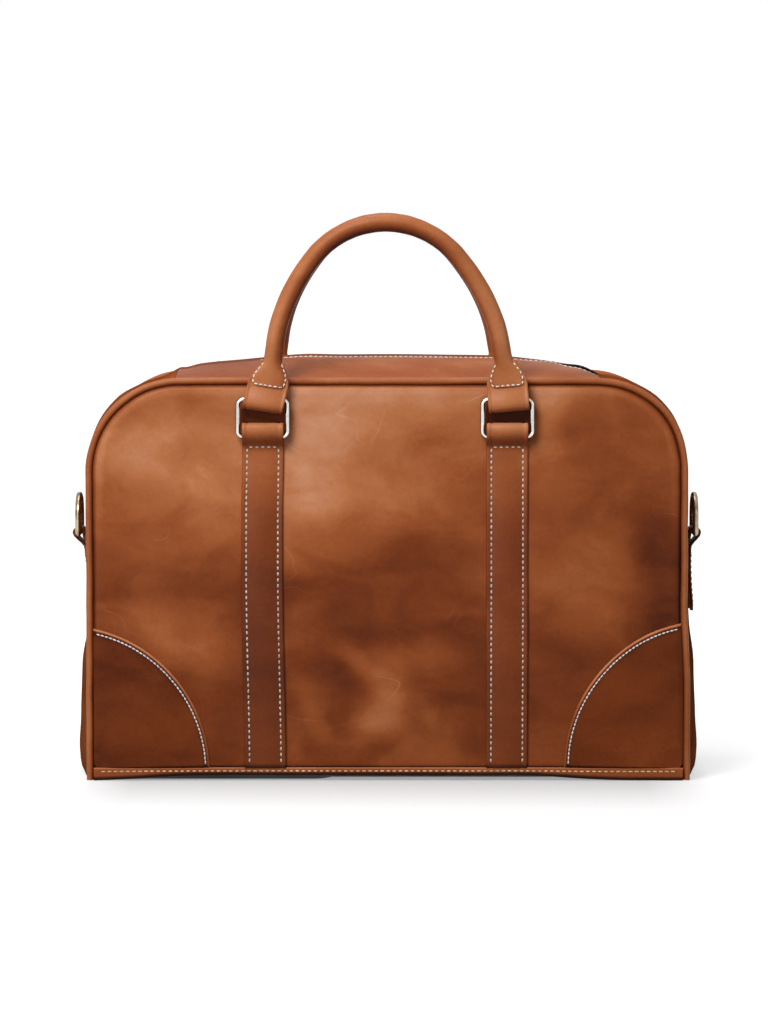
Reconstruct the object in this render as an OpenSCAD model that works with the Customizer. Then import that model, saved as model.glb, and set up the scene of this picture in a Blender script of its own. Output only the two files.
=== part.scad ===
// Leather holdall with two rolled handles and a zipped top.
// Millimetres. X runs along the bag, -Y is its front and Z is up.
// The origin is under the middle of the base.

/* [Body] */
// Width over the piping
bag_w = 437; // [400:1:500]
// Height to the top of the piping
bag_h = 292; // [270:1:330]
// Depth over the front and back panels
bag_d = 160; // [140:2:200]
// Radius of the top corners over the piping
corner_r = 68; // [55:1:80]
// Thickness of the front and back panels
panel_t = 2; // [1.6:0.1:2.4]
// Diameter of the piping
piping_d = 5; // [4.6:0.1:6]
// Width of the piping's flange, sewn in behind the panel's edge
flange_w = 10; // [6:0.5:14]
// Thickness of the piping's flange
flange_t = 1; // [0.8:0.1:1.2]

/* [Gusset] */
// Thickness of the end gussets and the zipped top
gusset_t = 2; // [1.5:0.1:2.2]
// Bulge of an end gusset at the floor
bulge_foot = 8; // [1:0.5:10]
// Bulge of an end gusset where it is widest
bulge_low = 12; // [6:0.5:14]
// Height at which an end gusset is widest
bulge_low_z = 20; // [12:1:60]
// Bulge of an end gusset at half its height
bulge_mid = 7.5; // [5:0.5:10]
// Bulge of an end gusset below the shoulder
bulge_high = 5; // [3:0.5:7]
// Bulge over the shoulder
bulge_shoulder = 1.5; // [1:0.5:3]
// Angle round the shoulder of the seam between gusset and top
shoulder_seam = 50; // [35:1:60]
// Rise of the zipped top above its side seams
crest_rise = 16.5; // [14:0.5:24]
// Radius of the long arch that the zip follows
crest_r = 1400; // [1200:50:2000]

/* [Base] */
// Thickness of the base leather and of its turned-up edges
base_t = 1.6; // [1.2:0.1:2.4]
// Height of the base's turned-up edges
strip_h = 9.5; // [7:0.5:14]
// Thickness of the stiff board in the base
board_t = 2.5; // [2:0.5:4]
// Thickness of the lining
lining_t = 1; // [0.8:0.1:1.4]

/* [Corner patches] */
// Radius of a patch's round edge
patch_r = 105; // [80:1:115]
// Thickness of a patch
patch_t = 1.6; // [1.2:0.1:2.2]
// Distance of the round edge's centre outside the bag
patch_out = 14; // [5:1:25]
// Height of the round edge's centre
patch_z = 7; // [0:1:15]

/* [Straps] */
// Distance of each strap's middle from the bag's middle
strap_x = 88; // [80:1:96]
// Width of a strap
strap_w = 30; // [26:1:31]
// Thickness of a strap, its two layers together
strap_t = 3; // [2.4:0.1:4]
// Thickness of one layer in a strap's loop
loop_t = 2.2; // [1.6:0.1:2.4]
// Height of the loop above the ring's lower bar
loop_rise = 10; // [9:0.5:12]
// Length over which a strap bends out to its loop
strap_bend = 22; // [16:1:28]

/* [Rings] */
// Height of a ring's lower bar
bar_z = 250; // [236:1:254]
// Distance of the rings in front of the panel
ring_stand = 6.9; // [6.6:0.1:9]
// Outer width of a ring
ring_w = 39; // [38:0.5:44]
// Outer height of a ring
ring_h = 30; // [28:0.5:36]
// Diameter of a ring's wire
ring_wire = 3.2; // [2.6:0.1:3.4]
// Corner radius of a ring, to the middle of its wire
ring_corner = 4; // [3:0.25:4.5]

/* [Handles] */
// Diameter of a handle
handle_d = 14.5; // [12:0.5:17]
// Diameter of the core in a handle
core_d = 9; // [7:0.5:10]
// Half the distance between a handle's legs
handle_half = 84; // [81:0.5:87]
// Height of a handle's arch above its widest point
handle_rise = 115; // [105:1:130]
// Radius of a handle's top
handle_top_r = 66; // [60:1:72]
// Height of a handle's widest point above the rings' lower bars
handle_lift = 38; // [36:1:46]
// Height above that at which a leg becomes round
leg_round = 24; // [20:1:30]
// Width of a handle tab at the ring
tab_w = 28; // [24:1:29]
// Width of a handle tab at its top
tab_top_w = 20; // [18:1:24]
// Thickness of a handle tab's leather
tab_t = 2; // [1.6:0.1:2.4]
// Drop of a handle tab's fold below the ring's upper bar
tab_drop = 9; // [8:0.5:11]
// Length of a handle tab above the ring's upper bar
tab_len = 24; // [20:1:28]

/* [End rings] */
// Diameter of a D-ring's wire
d_wire = 4.5; // [3.5:0.25:5]
// Outer width of a D-ring
d_w = 38; // [34:0.5:44]
// Outer height of a D-ring
d_h = 32; // [30:0.5:40]
// Height of a D-ring's straight bar
d_bar_z = 175; // [165:1:195]
// Width of the leather tab that holds a D-ring
chape_w = 25; // [20:1:28]
// Thickness of that tab's leather
chape_t = 2; // [1.5:0.1:2.4]
// Length of that tab below the D-ring
chape_len = 58; // [40:1:80]
// Distance of a D-ring from the tab's inner layer
d_stand = 1.5; // [0:0.5:3]

/* [Zip] */
// Half the length of the zip that opens
zip_half = 118; // [105:1:122]
// Length of the zip's fixed ends
zip_end = 24; // [22:1:30]
// Half the width of the slot between the leather edges
slot_half = 6; // [5.4:0.1:8]
// Height of the teeth's tops below the crest
zip_drop = 2.6; // [2.4:0.1:3]
// Height of the teeth
tooth_h = 2.6; // [2.2:0.1:3]
// Width of one row of teeth
tooth_w = 2.9; // [2.4:0.1:3.2]
// Gap between the two rows
tooth_gap = 1; // [1:0.1:1.4]
// Width of the tape beside its teeth
tape_w = 11; // [8:0.5:16]
// Thickness of the tape
tape_t = 0.8; // [0.6:0.1:0.9]
// Length of the slider
slider_len = 12; // [9:0.5:14]
// Thickness of the slider's plates
slider_t = 1.2; // [1:0.1:1.5]
// Length of the pull
pull_len = 25; // [18:1:30]
// Width of the pull
pull_w = 7; // [5:0.5:8]
// Thickness of the pull
pull_t = 1.4; // [1:0.1:1.6]

/* [Hidden] */
$fn = 64;
// Gap between pieces that move on each other
clear = 0.3;
// Gap between pieces that are sewn or laid together
seat = 0.1;
// Depth to which a handle's leg is sewn into its tab
sew_in = 1;
// Steps across a gusset and along it
across_steps = 8;
along_steps = 12;
// Fine division of the long zip arch
crest_fn = 1440;
// Sides of a handle's round bar
bar_sides = 12;

leather = "sienna";
trim = "saddlebrown";
nickel = "silver";
cloth = "dimgray";

front_y = -bag_d / 2;
pipe_x = (bag_w - piping_d) / 2;
pipe_y = front_y + piping_d / 2;
corner_x = bag_w / 2 - corner_r;
corner_z = bag_h - corner_r;
seam_r = corner_r - piping_d / 2;
seam_z = bag_h - piping_d / 2;
gusset_half = -front_y - piping_d - clear;
lining_half = -front_y - panel_t - flange_t - 2 * seat;
lining_in = piping_d + 2 * seat;
lining_z = base_t + board_t + seat;

// The crest bends down faster past the end of the zip, on a shorter radius
zip_stop_x = zip_half + zip_end;
tail_lap = 6;
tail_len = 14;
tail_r = 30.675;
tail_x = max(zip_stop_x - tail_lap, corner_x - tail_len);
// Length of the stop that closes the fixed teeth
stop_len = 2;

// Bulge of the end gusset by height, and of the shoulder by angle
end_bulge = [[0, bulge_foot], [bulge_low_z, bulge_low], [corner_z / 2, bulge_mid], [corner_z, bulge_high]];
end_top_rise = crest_rise - crest_fall(corner_x);
shoulder_bulge = [[0, bulge_high], [30, (bulge_high + bulge_shoulder) / 2], [60, bulge_shoulder],
    [90, end_top_rise]];

function crest_fall(x) = x * x / (2 * crest_r) + pow(max(0, abs(x) - tail_x), 2) / (2 * tail_r);

// A station along the gusset: place, outward direction and bulge
function side_station(z) = [pipe_x, z, 1, 0, lookup(z, end_bulge)];
function corner_station(a) =
    [corner_x + seam_r * cos(a), corner_z + seam_r * sin(a), cos(a), sin(a), lookup(a, shoulder_bulge)];
function top_station(x) = [x, seam_z, 0, 1, crest_rise - crest_fall(x)];
function shell_point(station, v, depth) =
    let (h = station[4] * (1 - v * v) - depth)
    [station[0] + station[2] * h, v * gusset_half, station[1] + station[3] * h];
function spread(a, b, n) = [for (i = [0:n]) a + (b - a) * i / n];

// Where a flap turns, at its side seam
flap_edge = gusset_half - 4 * clear;

ring_y = front_y - ring_stand;
loop_in = ring_wire / 2 + clear;
loop_out = loop_in + loop_t;
top_bar_z = bar_z + ring_h - ring_wire;
tab_out = loop_in + tab_t;
tab_top_z = top_bar_z + tab_len;

arch_z = bar_z + handle_lift;
handle_side_r = (pow(handle_half, 2) + pow(handle_rise - handle_top_r, 2) - pow(handle_top_r, 2))
    / (2 * (handle_half - handle_top_r));
handle_side_x = handle_half - handle_side_r;
handle_top_z = arch_z + handle_rise - handle_top_r;
handle_meet = atan2(handle_top_z - arch_z, -handle_side_x);
leg_angle = asin(leg_round / handle_side_r);

d_in = d_wire / 2 + clear;
d_x = pipe_x + lookup(d_bar_z, end_bulge) + seat + chape_t + d_in + d_stand;
d_arc_r = (d_w - d_wire) / 2;
d_leg = d_h - d_wire - d_arc_r;

// Room before the slider, and how far its plates reach past the teeth
slider_gap = 1;
slider_side = 1;
slider_x = zip_half + clear + slider_len / 2 + slider_gap;
slider_w = 2 * (tooth_w + slider_side) + tooth_gap;
pull_eye_r = pull_t;
pull_pin_d = 1.2;
ear_t = 1;
pull_neck = 5;
eye_w = 2.6;
pull_z = -zip_drop + clear + slider_t + clear + pull_eye_r;

// Every shape is drawn at the front and right, and turned over for the other places
module at_back() mirror([0, 1, 0]) children();
module at_left() mirror([1, 0, 0]) children();

// A flat outline in X and Z, with its back at y and its thickness towards the front
module upright(y, t) translate([0, y, 0]) rotate([90, 0, 0]) linear_extrude(t) children();

// A profile in Y and Z, drawn out along X about the place x
module across(x, w) translate([x - w / 2, 0, 0]) rotate([90, 0, 90]) linear_extrude(w) children();

// A bar with round ends, from one height to another
module stadium(x, z0, z1, r) {
    translate([x, z0]) circle(r);
    translate([x, z1]) circle(r);
    translate([x - r, z0]) square([2 * r, z1 - z0]);
}

// The panel's shape: straight sides and round top corners
module bag_outline(inset, z0) {
    r = corner_r - inset;
    half = bag_w / 2 - inset;
    translate([-half, z0]) square([2 * half, corner_z - z0]);
    translate([-corner_x, z0]) square([2 * corner_x, bag_h - inset - z0]);
    for (s = [-1, 1]) translate([s * corner_x, corner_z]) circle(r, $fn = 96);
}

// A curved sheet through stations along the gusset and places v across it
module shell(stations, places, t) {
    n = len(stations);
    m = len(places);
    points = [for (depth = [0, t]) for (s = stations) for (v = places) shell_point(s, v, depth)];
    under = n * m;
    sheet = [for (i = [0:n - 2]) for (j = [0:m - 2])
        let (a = i * m + j, b = a + m) each [[a, b, b + 1], [a, b + 1, a + 1]]];
    ends = [for (j = [0:m - 2]) for (i = [0, n - 1])
        let (a = i * m + j, e = [[a, a + 1, a + 1 + under], [a, a + 1 + under, a + under]])
        each i == 0 ? e : turned(e)];
    sides = [for (i = [0:n - 2]) for (j = [0, m - 1])
        let (a = i * m + j, e = [[a, a + under, a + m + under], [a, a + m + under, a + m]])
        each j == 0 ? e : turned(e)];
    back = [for (f = sheet) [f[2] + under, f[1] + under, f[0] + under]];
    polyhedron(points, concat(sheet, back, ends, sides));
}

module panel() color(leather)
    upright(front_y + panel_t, panel_t) bag_outline(piping_d + seat, base_t);

module piping_flange()
    translate([-flange_w, panel_t - piping_d / 2]) square([flange_w, flange_t]);

module piping_section() {
    circle(d = piping_d);
    piping_flange();
}

module piping() color(trim) {
    for (s = [0, 1]) mirror([s, 0, 0]) {
        translate([pipe_x, pipe_y, 0]) linear_extrude(corner_z) circle(d = piping_d);
        translate([pipe_x, pipe_y, base_t]) linear_extrude(corner_z - base_t) piping_flange();
        translate([corner_x, pipe_y, corner_z]) rotate([90, 0, 0]) rotate_extrude(angle = 90, $fn = 96)
            translate([seam_r, 0]) mirror([0, 1]) piping_section();
    }
    translate([corner_x, pipe_y, seam_z]) rotate([0, -90, 0]) linear_extrude(2 * corner_x) piping_section();
}

// The base's ends follow the gussets' feet, between the two pipings
module base_panel() color(trim) {
    half = bag_w / 2 - piping_d - seat;
    foot = pipe_x - gusset_t - seat;
    linear_extrude(base_t) for (s = [0, 1]) mirror([s, 0])
        polygon(concat([[0, -gusset_half]],
            [for (v = spread(-1, 1, across_steps)) [foot + bulge_foot * (1 - v * v), v * gusset_half]],
            [[0, gusset_half]]));
    translate([-half, front_y - base_t, 0]) cube([2 * half, bag_d + 2 * base_t, base_t]);
    for (s = [0, 1]) mirror([0, s, 0])
        translate([-half, front_y - base_t, 0]) cube([2 * half, base_t, strip_h]);
}

module base_board() color("tan") {
    half = bag_w / 2 - lining_in;
    translate([-half, -lining_half, base_t]) cube([2 * half, 2 * lining_half, board_t]);
}

// The lining is open at the top between the ends of the zip
module lining() color(cloth) difference() {
    upright(lining_half, 2 * lining_half) bag_outline(lining_in, lining_z);
    upright(lining_half - lining_t, 2 * (lining_half - lining_t))
        bag_outline(lining_in + lining_t, lining_z + lining_t);
    translate([-zip_half, lining_t - lining_half, corner_z])
        cube([2 * zip_half, 2 * (lining_half - lining_t), corner_r]);
}

module gusset() color(leather)
    shell(concat([for (z = spread(0, corner_z, along_steps)) side_station(z)],
        [for (a = spread(0, shoulder_seam, 6)) if (a > 0) corner_station(a)]),
        spread(-1, 1, across_steps), gusset_t);

// The fixed end of the zipped top, with a slot for the end of the zip
module top_end() color(leather) difference() {
    start = shoulder_seam + asin(clear / seam_r);
    shell(concat([for (a = spread(start, 90, 6)) corner_station(a)],
        [for (x = spread(corner_x, zip_half + clear, 4)) if (x < corner_x) top_station(x)]),
        spread(-1, 1, across_steps), gusset_t);
    translate([0, -slot_half, corner_z]) cube([zip_stop_x + clear, 2 * slot_half, bag_h]);
}

module zip_flap() color(leather)
    shell([for (x = spread(zip_half, -zip_half, 2 * along_steps)) top_station(x)],
        spread(-flap_edge / gusset_half, -slot_half / gusset_half, across_steps), gusset_t);

// A section of radius and depth, carried along the zip's arch from x0 to x1
module along_crest(x0, x1) translate([0, 0, seam_z + crest_rise - crest_r]) rotate([90, 0, 0])
    rotate([0, 0, 90 - asin(x1 / crest_r)])
    rotate_extrude(angle = asin(x1 / crest_r) - asin(x0 / crest_r), $fn = crest_fn)
    translate([crest_r, 0]) children();

// A place on the zip's arch, with Z away from the arch's centre
module on_crest(x) translate([0, 0, seam_z + crest_rise - crest_r]) rotate([0, asin(x / crest_r), 0])
    translate([0, 0, crest_r]) children();

module teeth_section() translate([-zip_drop - tooth_h, tooth_gap / 2]) square([tooth_h, tooth_w]);

module tape_section()
    translate([-zip_drop - (tooth_h + tape_t) / 2, tooth_gap / 2 + tooth_w + seat]) square([tape_t, tape_w]);

module zip_tape() color("black") along_crest(-zip_half, zip_half) tape_section();

module zip_teeth() color(nickel) along_crest(-zip_half, zip_half) teeth_section();

module zip_end_tape() color("black") along_crest(zip_half + clear, zip_stop_x) {
    tape_section();
    mirror([0, 1]) tape_section();
}

// The fixed teeth, closed by a stop
module zip_end_teeth() color(nickel) {
    along_crest(zip_half + clear, zip_stop_x - stop_len - seat) {
        teeth_section();
        mirror([0, 1]) teeth_section();
    }
    along_crest(zip_stop_x - stop_len - seat, zip_stop_x)
        translate([-zip_drop - tooth_h, -tooth_gap / 2 - tooth_w]) square([tooth_h, tooth_gap + 2 * tooth_w]);
}

// Two plates and a web between the rows of teeth, with ears and a pin for the pull
module zip_slider() color(nickel) on_crest(-slider_x) {
    web_h = tooth_h + 2 * clear;
    web_w = tooth_gap - 2 * clear;
    top = -zip_drop + clear;
    for (z = [top, top - web_h - slider_t])
        translate([-slider_len / 2, -slider_w / 2, z]) cube([slider_len, slider_w, slider_t]);
    translate([-slider_len / 4, -web_w / 2, top - web_h]) cube([slider_len / 2, web_w, web_h]);
    for (s = [0, 1]) mirror([0, s, 0])
        translate([-pull_eye_r, eye_w / 2 + clear, top])
            cube([2 * pull_eye_r, ear_t, pull_z + pull_eye_r - top]);
    translate([0, 0, pull_z]) rotate([90, 0, 0])
        cylinder(d = pull_pin_d - 2 * clear, h = eye_w + 2 * clear + ear_t, center = true);
}

module zip_pull() color(nickel) on_crest(-slider_x) translate([0, 0, pull_z]) difference() {
    union() {
        rotate([90, 0, 0]) cylinder(r = pull_eye_r, h = eye_w, center = true);
        translate([-pull_neck, -eye_w / 2, -pull_t / 2]) cube([pull_neck, eye_w, pull_t]);
        translate([-pull_len, -pull_w / 2, -pull_t / 2]) cube([pull_len - pull_neck + seat, pull_w, pull_t]);
    }
    rotate([90, 0, 0]) cylinder(d = pull_pin_d, h = 2 * eye_w, center = true);
    translate([-pull_len + pull_w / 2, 0, -pull_t]) cylinder(d = pull_w / 2, h = 2 * pull_t);
}

module patch() color(trim) upright(front_y, patch_t) intersection() {
    bag_outline(piping_d + 2 * seat, strip_h + seat);
    translate([bag_w / 2 + patch_out, patch_z]) circle(patch_r, $fn = 128);
}

// A strap lies on the panel, bends out and folds into a loop round the ring's lower bar
module strap() color(trim) difference() {
    fold_z = bar_z + loop_rise - loop_out;
    union() {
        across(strap_x, strap_w) polygon([[front_y, strip_h + seat], [front_y - strap_t, strip_h + seat],
            [front_y - strap_t, bar_z - strap_bend], [ring_y - loop_out, bar_z], [ring_y - loop_out, fold_z],
            [ring_y + loop_out, fold_z], [ring_y + loop_out, bar_z], [front_y, bar_z - strap_bend / 3]]);
        across(strap_x, strap_w) translate([ring_y, fold_z]) circle(loop_out);
    }
    across(strap_x, 2 * strap_w) stadium(ring_y, bar_z, fold_z, loop_in);
}

module ring() color(nickel) translate([strap_x, ring_y, bar_z]) {
    half_w = (ring_w - ring_wire) / 2;
    h = ring_h - ring_wire;
    for (z = [0, h]) translate([0, 0, z]) rotate([0, 90, 0])
        cylinder(d = ring_wire, h = 2 * (half_w - ring_corner), center = true);
    for (s = [0, 1]) mirror([s, 0, 0]) {
        translate([half_w, 0, ring_corner]) cylinder(d = ring_wire, h = h - 2 * ring_corner);
        for (t = [0, 1]) translate([half_w - ring_corner, 0, t * h + (1 - 2 * t) * ring_corner])
            mirror([0, 0, 1 - t]) rotate([90, 0, 0]) rotate_extrude(angle = 90)
            translate([ring_corner, 0]) circle(d = ring_wire);
    }
}

// The tab's outline narrows from the ring to the handle's leg
module tab_outline() {
    low = tab_w / 2;
    high = tab_top_w / 2;
    polygon([[strap_x - low, top_bar_z - tab_drop], [strap_x + low, top_bar_z - tab_drop],
        [strap_x + low, top_bar_z], [handle_half + high, tab_top_z], [handle_half - high, tab_top_z],
        [strap_x - low, top_bar_z]]);
}

// A folded strip round the ring's upper bar, which closes round the end of the handle's leg
module handle_tab() color(trim) {
    leg = arch_station(leg_angle);
    fold_z = top_bar_z - tab_drop + tab_out;
    intersection() {
        difference() {
            union() {
                across(strap_x, 2 * tab_w) stadium(ring_y, fold_z, top_bar_z, tab_out);
                across(strap_x, 2 * tab_w) translate([ring_y - tab_out, top_bar_z])
                    square([2 * tab_out, tab_len]);
            }
            across(strap_x, 3 * tab_w) stadium(ring_y, fold_z, top_bar_z, loop_in);
        }
        upright(ring_y + 2 * tab_out, 4 * tab_out) tab_outline();
    }
    hull() {
        translate([leg[0], ring_y, leg[1]]) rotate([0, -leg_angle, 0]) translate([0, 0, -seat - sew_in])
            cylinder(d = handle_d, h = sew_in, $fn = 32);
        translate([handle_half - tab_top_w / 2 + sew_in, ring_y - tab_out + seat, tab_top_z - sew_in])
            cube([tab_top_w - 2 * sew_in, 2 * (tab_out - seat), sew_in]);
    }
}

// A place on the handle's arch by angle: X, Z and the outward direction
function arch_station(a) =
    let (top = a >= handle_meet && a <= 180 - handle_meet,
        r = top ? handle_top_r : handle_side_r,
        x = top ? 0 : (a < 90 ? handle_side_x : -handle_side_x),
        z = top ? handle_top_z : arch_z)
    [x + r * cos(a), z + r * sin(a), cos(a), sin(a)];
side_turns = spread(leg_angle, handle_meet, 6);
top_turns = spread(handle_meet, 180 - handle_meet, 14);
arch_rings = concat([for (a = side_turns) if (a < handle_meet) arch_station(a)],
    [for (a = top_turns) arch_station(a)],
    [for (i = [5:-1:0]) arch_station(180 - side_turns[i])]);

// The corners of a round bar of radius r along the arch, ring by ring
function arch_points(r) = [for (s = arch_rings) for (k = [0:bar_sides - 1])
    let (u = r * cos(360 * k / bar_sides), v = r * sin(360 * k / bar_sides))
    [s[0] + s[2] * u, ring_y + v, s[1] + s[3] * u]];
// The faces between those rings, with the corners numbered from first
function arch_faces(first) = [for (i = [0:len(arch_rings) - 2]) for (k = [0:bar_sides - 1])
    let (a = first + i * bar_sides + k, b = first + i * bar_sides + (k + 1) % bar_sides)
    each [[a, a + bar_sides, b + bar_sides], [a, b + bar_sides, b]]];
function turned(faces) = [for (f = faces) [f[2], f[1], f[0]]];

module handle_wrap() color(trim) {
    inner = len(arch_rings) * bar_sides;
    ends = [for (i = [0, inner - bar_sides]) for (k = [0:bar_sides - 1])
        let (a = i + k, b = i + (k + 1) % bar_sides, f = [[a, b, b + inner], [a, b + inner, a + inner]])
        each i == 0 ? f : turned(f)];
    polyhedron(concat(arch_points(handle_d / 2), arch_points(core_d / 2)),
        concat(arch_faces(0), turned(arch_faces(inner)), ends));
}

module handle_core() color("khaki") {
    last = (len(arch_rings) - 1) * bar_sides;
    ends = [for (k = [1:bar_sides - 2]) each [[0, k, k + 1], [last + k + 1, last + k, last]]];
    polyhedron(arch_points(core_d / 2 - seat), concat(arch_faces(0), ends));
}

// A folded tab on the gusset, with its loop round the D-ring's straight bar
module chape() color(trim) difference() {
    z_steps = spread(d_bar_z - chape_len, d_bar_z, 8);
    wall = function (z) pipe_x + lookup(z, end_bulge) + seat;
    union() {
        upright(chape_w / 2, chape_w) polygon(concat([for (z = z_steps) [wall(z), z]],
            [[d_x + d_in + chape_t, d_bar_z]],
            [for (i = [6:-1:0]) [wall(z_steps[i]) + 2 * chape_t, z_steps[i]]]));
        translate([d_x, 0, d_bar_z]) rotate([90, 0, 0])
            cylinder(r = d_in + chape_t, h = chape_w, center = true);
    }
    translate([d_x, 0, d_bar_z]) rotate([90, 0, 0]) cylinder(r = d_in, h = 2 * chape_w, center = true);
}

// A straight bar, two legs and a half-round top
module d_ring() color(nickel) translate([d_x, 0, d_bar_z]) {
    rotate([90, 0, 0]) cylinder(d = d_wire, h = 2 * d_arc_r, center = true);
    for (s = [0, 1]) mirror([0, s, 0]) translate([0, d_arc_r, 0]) {
        sphere(d = d_wire);
        cylinder(d = d_wire, h = d_leg);
    }
    translate([0, 0, d_leg]) rotate([90, 0, 90]) rotate_extrude(angle = 180) translate([d_arc_r, 0])
        circle(d = d_wire);
}

panel();  // front_panel
at_back() panel();  // back_panel
base_panel();
base_board();
lining();
at_left() gusset();  // left_gusset
gusset();  // right_gusset
at_left() top_end();  // left_top_end
top_end();  // right_top_end
piping();  // front_piping
at_back() piping();  // back_piping
at_left() patch();  // front_left_patch
patch();  // front_right_patch
at_left() at_back() patch();  // back_left_patch
at_back() patch();  // back_right_patch
at_left() strap();  // front_left_strap
strap();  // front_right_strap
at_left() at_back() strap();  // back_left_strap
at_back() strap();  // back_right_strap
at_left() ring();  // front_left_ring
ring();  // front_right_ring
at_left() at_back() ring();  // back_left_ring
at_back() ring();  // back_right_ring
handle_wrap();  // front_handle_wrap
handle_core();  // front_handle_core
at_left() handle_tab();  // front_left_handle_tab
handle_tab();  // front_right_handle_tab
at_back() handle_wrap();  // back_handle_wrap
at_back() handle_core();  // back_handle_core
at_left() at_back() handle_tab();  // back_left_handle_tab
at_back() handle_tab();  // back_right_handle_tab
at_left() chape();  // left_chape
chape();  // right_chape
at_left() d_ring();  // left_d_ring
d_ring();  // right_d_ring
zip_flap();  // front_zip_flap
at_back() zip_flap();  // back_zip_flap
zip_tape();  // front_zip_tape
at_back() zip_tape();  // back_zip_tape
zip_teeth();  // front_zip_teeth
at_back() zip_teeth();  // back_zip_teeth
at_left() zip_end_tape();  // left_zip_end_tape
zip_end_tape();  // right_zip_end_tape
at_left() zip_end_teeth();  // left_zip_end_teeth
zip_end_teeth();  // right_zip_end_teeth
zip_slider();
zip_pull();
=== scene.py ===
import math

import bmesh
import bpy
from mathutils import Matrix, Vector, noise


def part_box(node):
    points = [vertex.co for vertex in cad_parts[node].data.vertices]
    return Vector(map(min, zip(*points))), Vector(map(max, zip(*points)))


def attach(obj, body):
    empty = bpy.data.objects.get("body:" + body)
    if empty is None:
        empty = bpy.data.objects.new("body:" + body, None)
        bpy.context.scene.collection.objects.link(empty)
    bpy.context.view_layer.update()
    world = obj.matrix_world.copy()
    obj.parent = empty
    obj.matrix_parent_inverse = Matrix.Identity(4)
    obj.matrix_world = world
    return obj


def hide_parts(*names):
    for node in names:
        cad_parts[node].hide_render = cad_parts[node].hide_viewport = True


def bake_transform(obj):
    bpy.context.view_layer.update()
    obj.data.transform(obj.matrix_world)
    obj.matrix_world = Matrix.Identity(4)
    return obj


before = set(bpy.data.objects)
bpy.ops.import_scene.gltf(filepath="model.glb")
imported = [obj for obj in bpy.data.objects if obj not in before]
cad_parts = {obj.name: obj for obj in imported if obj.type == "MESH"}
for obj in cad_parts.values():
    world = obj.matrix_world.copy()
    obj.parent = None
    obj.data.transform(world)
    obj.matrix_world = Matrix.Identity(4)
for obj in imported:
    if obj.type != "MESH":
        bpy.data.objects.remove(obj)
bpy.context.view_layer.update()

# Lengths are in millimetres until a mesh is made
METRE = 1000.0
X_WAY = Vector((1, 0, 0))
Y_WAY = Vector((0, 1, 0))
UP = Vector((0, 0, 1))

# The bag's sides by sign and name, and its four quarters
SIDES_Y = ((-1, "front"), (1, "back"))
SIDES_X = ((1, "right"), (-1, "left"))
QUARTERS = [(side, side_x, end_y, end_x) for side, end_y in SIDES_Y for side_x, end_x in SIDES_X]


def node_box(node):
    low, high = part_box(node)
    return [METRE * v for v in low], [METRE * v for v in high]


def middle(pair, axis):
    return (pair[0][axis] + pair[1][axis]) / 2


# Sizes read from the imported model
PIPING = node_box("front_piping")
PANEL = node_box("front_panel")
GUSSET = node_box("right_gusset")
STRAP = node_box("front_right_strap")
RING = node_box("front_right_ring")
TAB = node_box("front_right_handle_tab")
WRAP = node_box("front_handle_wrap")
D_RING = node_box("right_d_ring")
CHAPE = node_box("right_chape")
PATCH = node_box("front_right_patch")
BASE = node_box("base_panel")
FLAP = node_box("front_zip_flap")
SLIDER = node_box("zip_slider")
PULL = node_box("zip_pull")
BASE_BOARD = node_box("base_board")

HALF_W = PIPING[1][0]
TOP_Z = PIPING[1][2]
CORNER_R = 68.0
CORNER_X = HALF_W - CORNER_R
CORNER_Z = TOP_Z - CORNER_R
FRONT_Y = PANEL[0][1]
PANEL_T = PANEL[1][1] - PANEL[0][1]
PANEL_INSET = HALF_W - PANEL[1][0]
SEAM_IN = 2.5
SEAM_X = HALF_W - SEAM_IN
SEAM_Z = TOP_Z - SEAM_IN
SEAM_R = CORNER_R - SEAM_IN
PIPE_Y = FRONT_Y + SEAM_IN
PIPE_R = 2.6
GUSSET_HALF = GUSSET[1][1]
SHEET_T = 2.0
STRIP_Z = BASE[1][2]
BASE_T = -BASE[0][1] + FRONT_Y

# The bulge of an end by height, and the arch of the top
END_BULGE = [(0, 8.0), (7, 11.4), (20, 12.2), (42, 11.2), (80, 10.0), (CORNER_Z / 2, 7.5), (CORNER_Z, 5.0)]
CREST_RISE = FLAP[1][2] - SEAM_Z
CREST_R = 1400.0
TAIL_X = max(136.0, CORNER_X - 14.0)
TAIL_R = 30.675
SLOT_HALF = -FLAP[1][1]
ZIP_END_X = 157.0
SIDE_START = CORNER_X + SEAM_R * math.pi / 2
SIDE_END = SIDE_START + CORNER_Z

STRAP_X = middle(STRAP, 0)
STRAP_W = STRAP[1][0] - STRAP[0][0]
STRAP_T = 3.0
RING_Y = middle(RING, 1)
RING_R = (RING[1][1] - RING[0][1]) / 2
BAR_Z = RING[0][2] + RING_R
TOP_BAR_Z = RING[1][2] - RING_R
HANDLE_R = (WRAP[1][1] - WRAP[0][1]) / 2
ARCH_Z = BAR_Z + 38.0
HANDLE_TOP_R = 66.0
HANDLE_TOP_Z = WRAP[1][2] - HANDLE_R - HANDLE_TOP_R
HANDLE_SIDE_R = 141.694
HANDLE_SIDE_X = 84.0 - HANDLE_SIDE_R
HANDLE_MEET = math.atan2(HANDLE_TOP_Z - ARCH_Z, -HANDLE_SIDE_X)
# The leather is worn thinner than its packed size, with the same outer line
WORN = 0.65
ARCH_R = HANDLE_SIDE_R + WORN
ROLL_R = HANDLE_R - WORN
D_WIRE_R = (D_RING[1][0] - D_RING[0][0]) / 2
D_X = middle(D_RING, 0)
D_BAR_Z = D_RING[0][2] + D_WIRE_R
D_ARC_R = D_RING[1][1] - D_WIRE_R
D_TOP_Z = D_RING[1][2] - D_WIRE_R


# Small tools
def smooth(t):
    t = min(1.0, max(0.0, t))
    return t * t * (3 - 2 * t)


def mix(a, b, t):
    return a + (b - a) * t


def bell(value, mid, width):
    return math.exp(-((value - mid) / width) ** 2)


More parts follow.
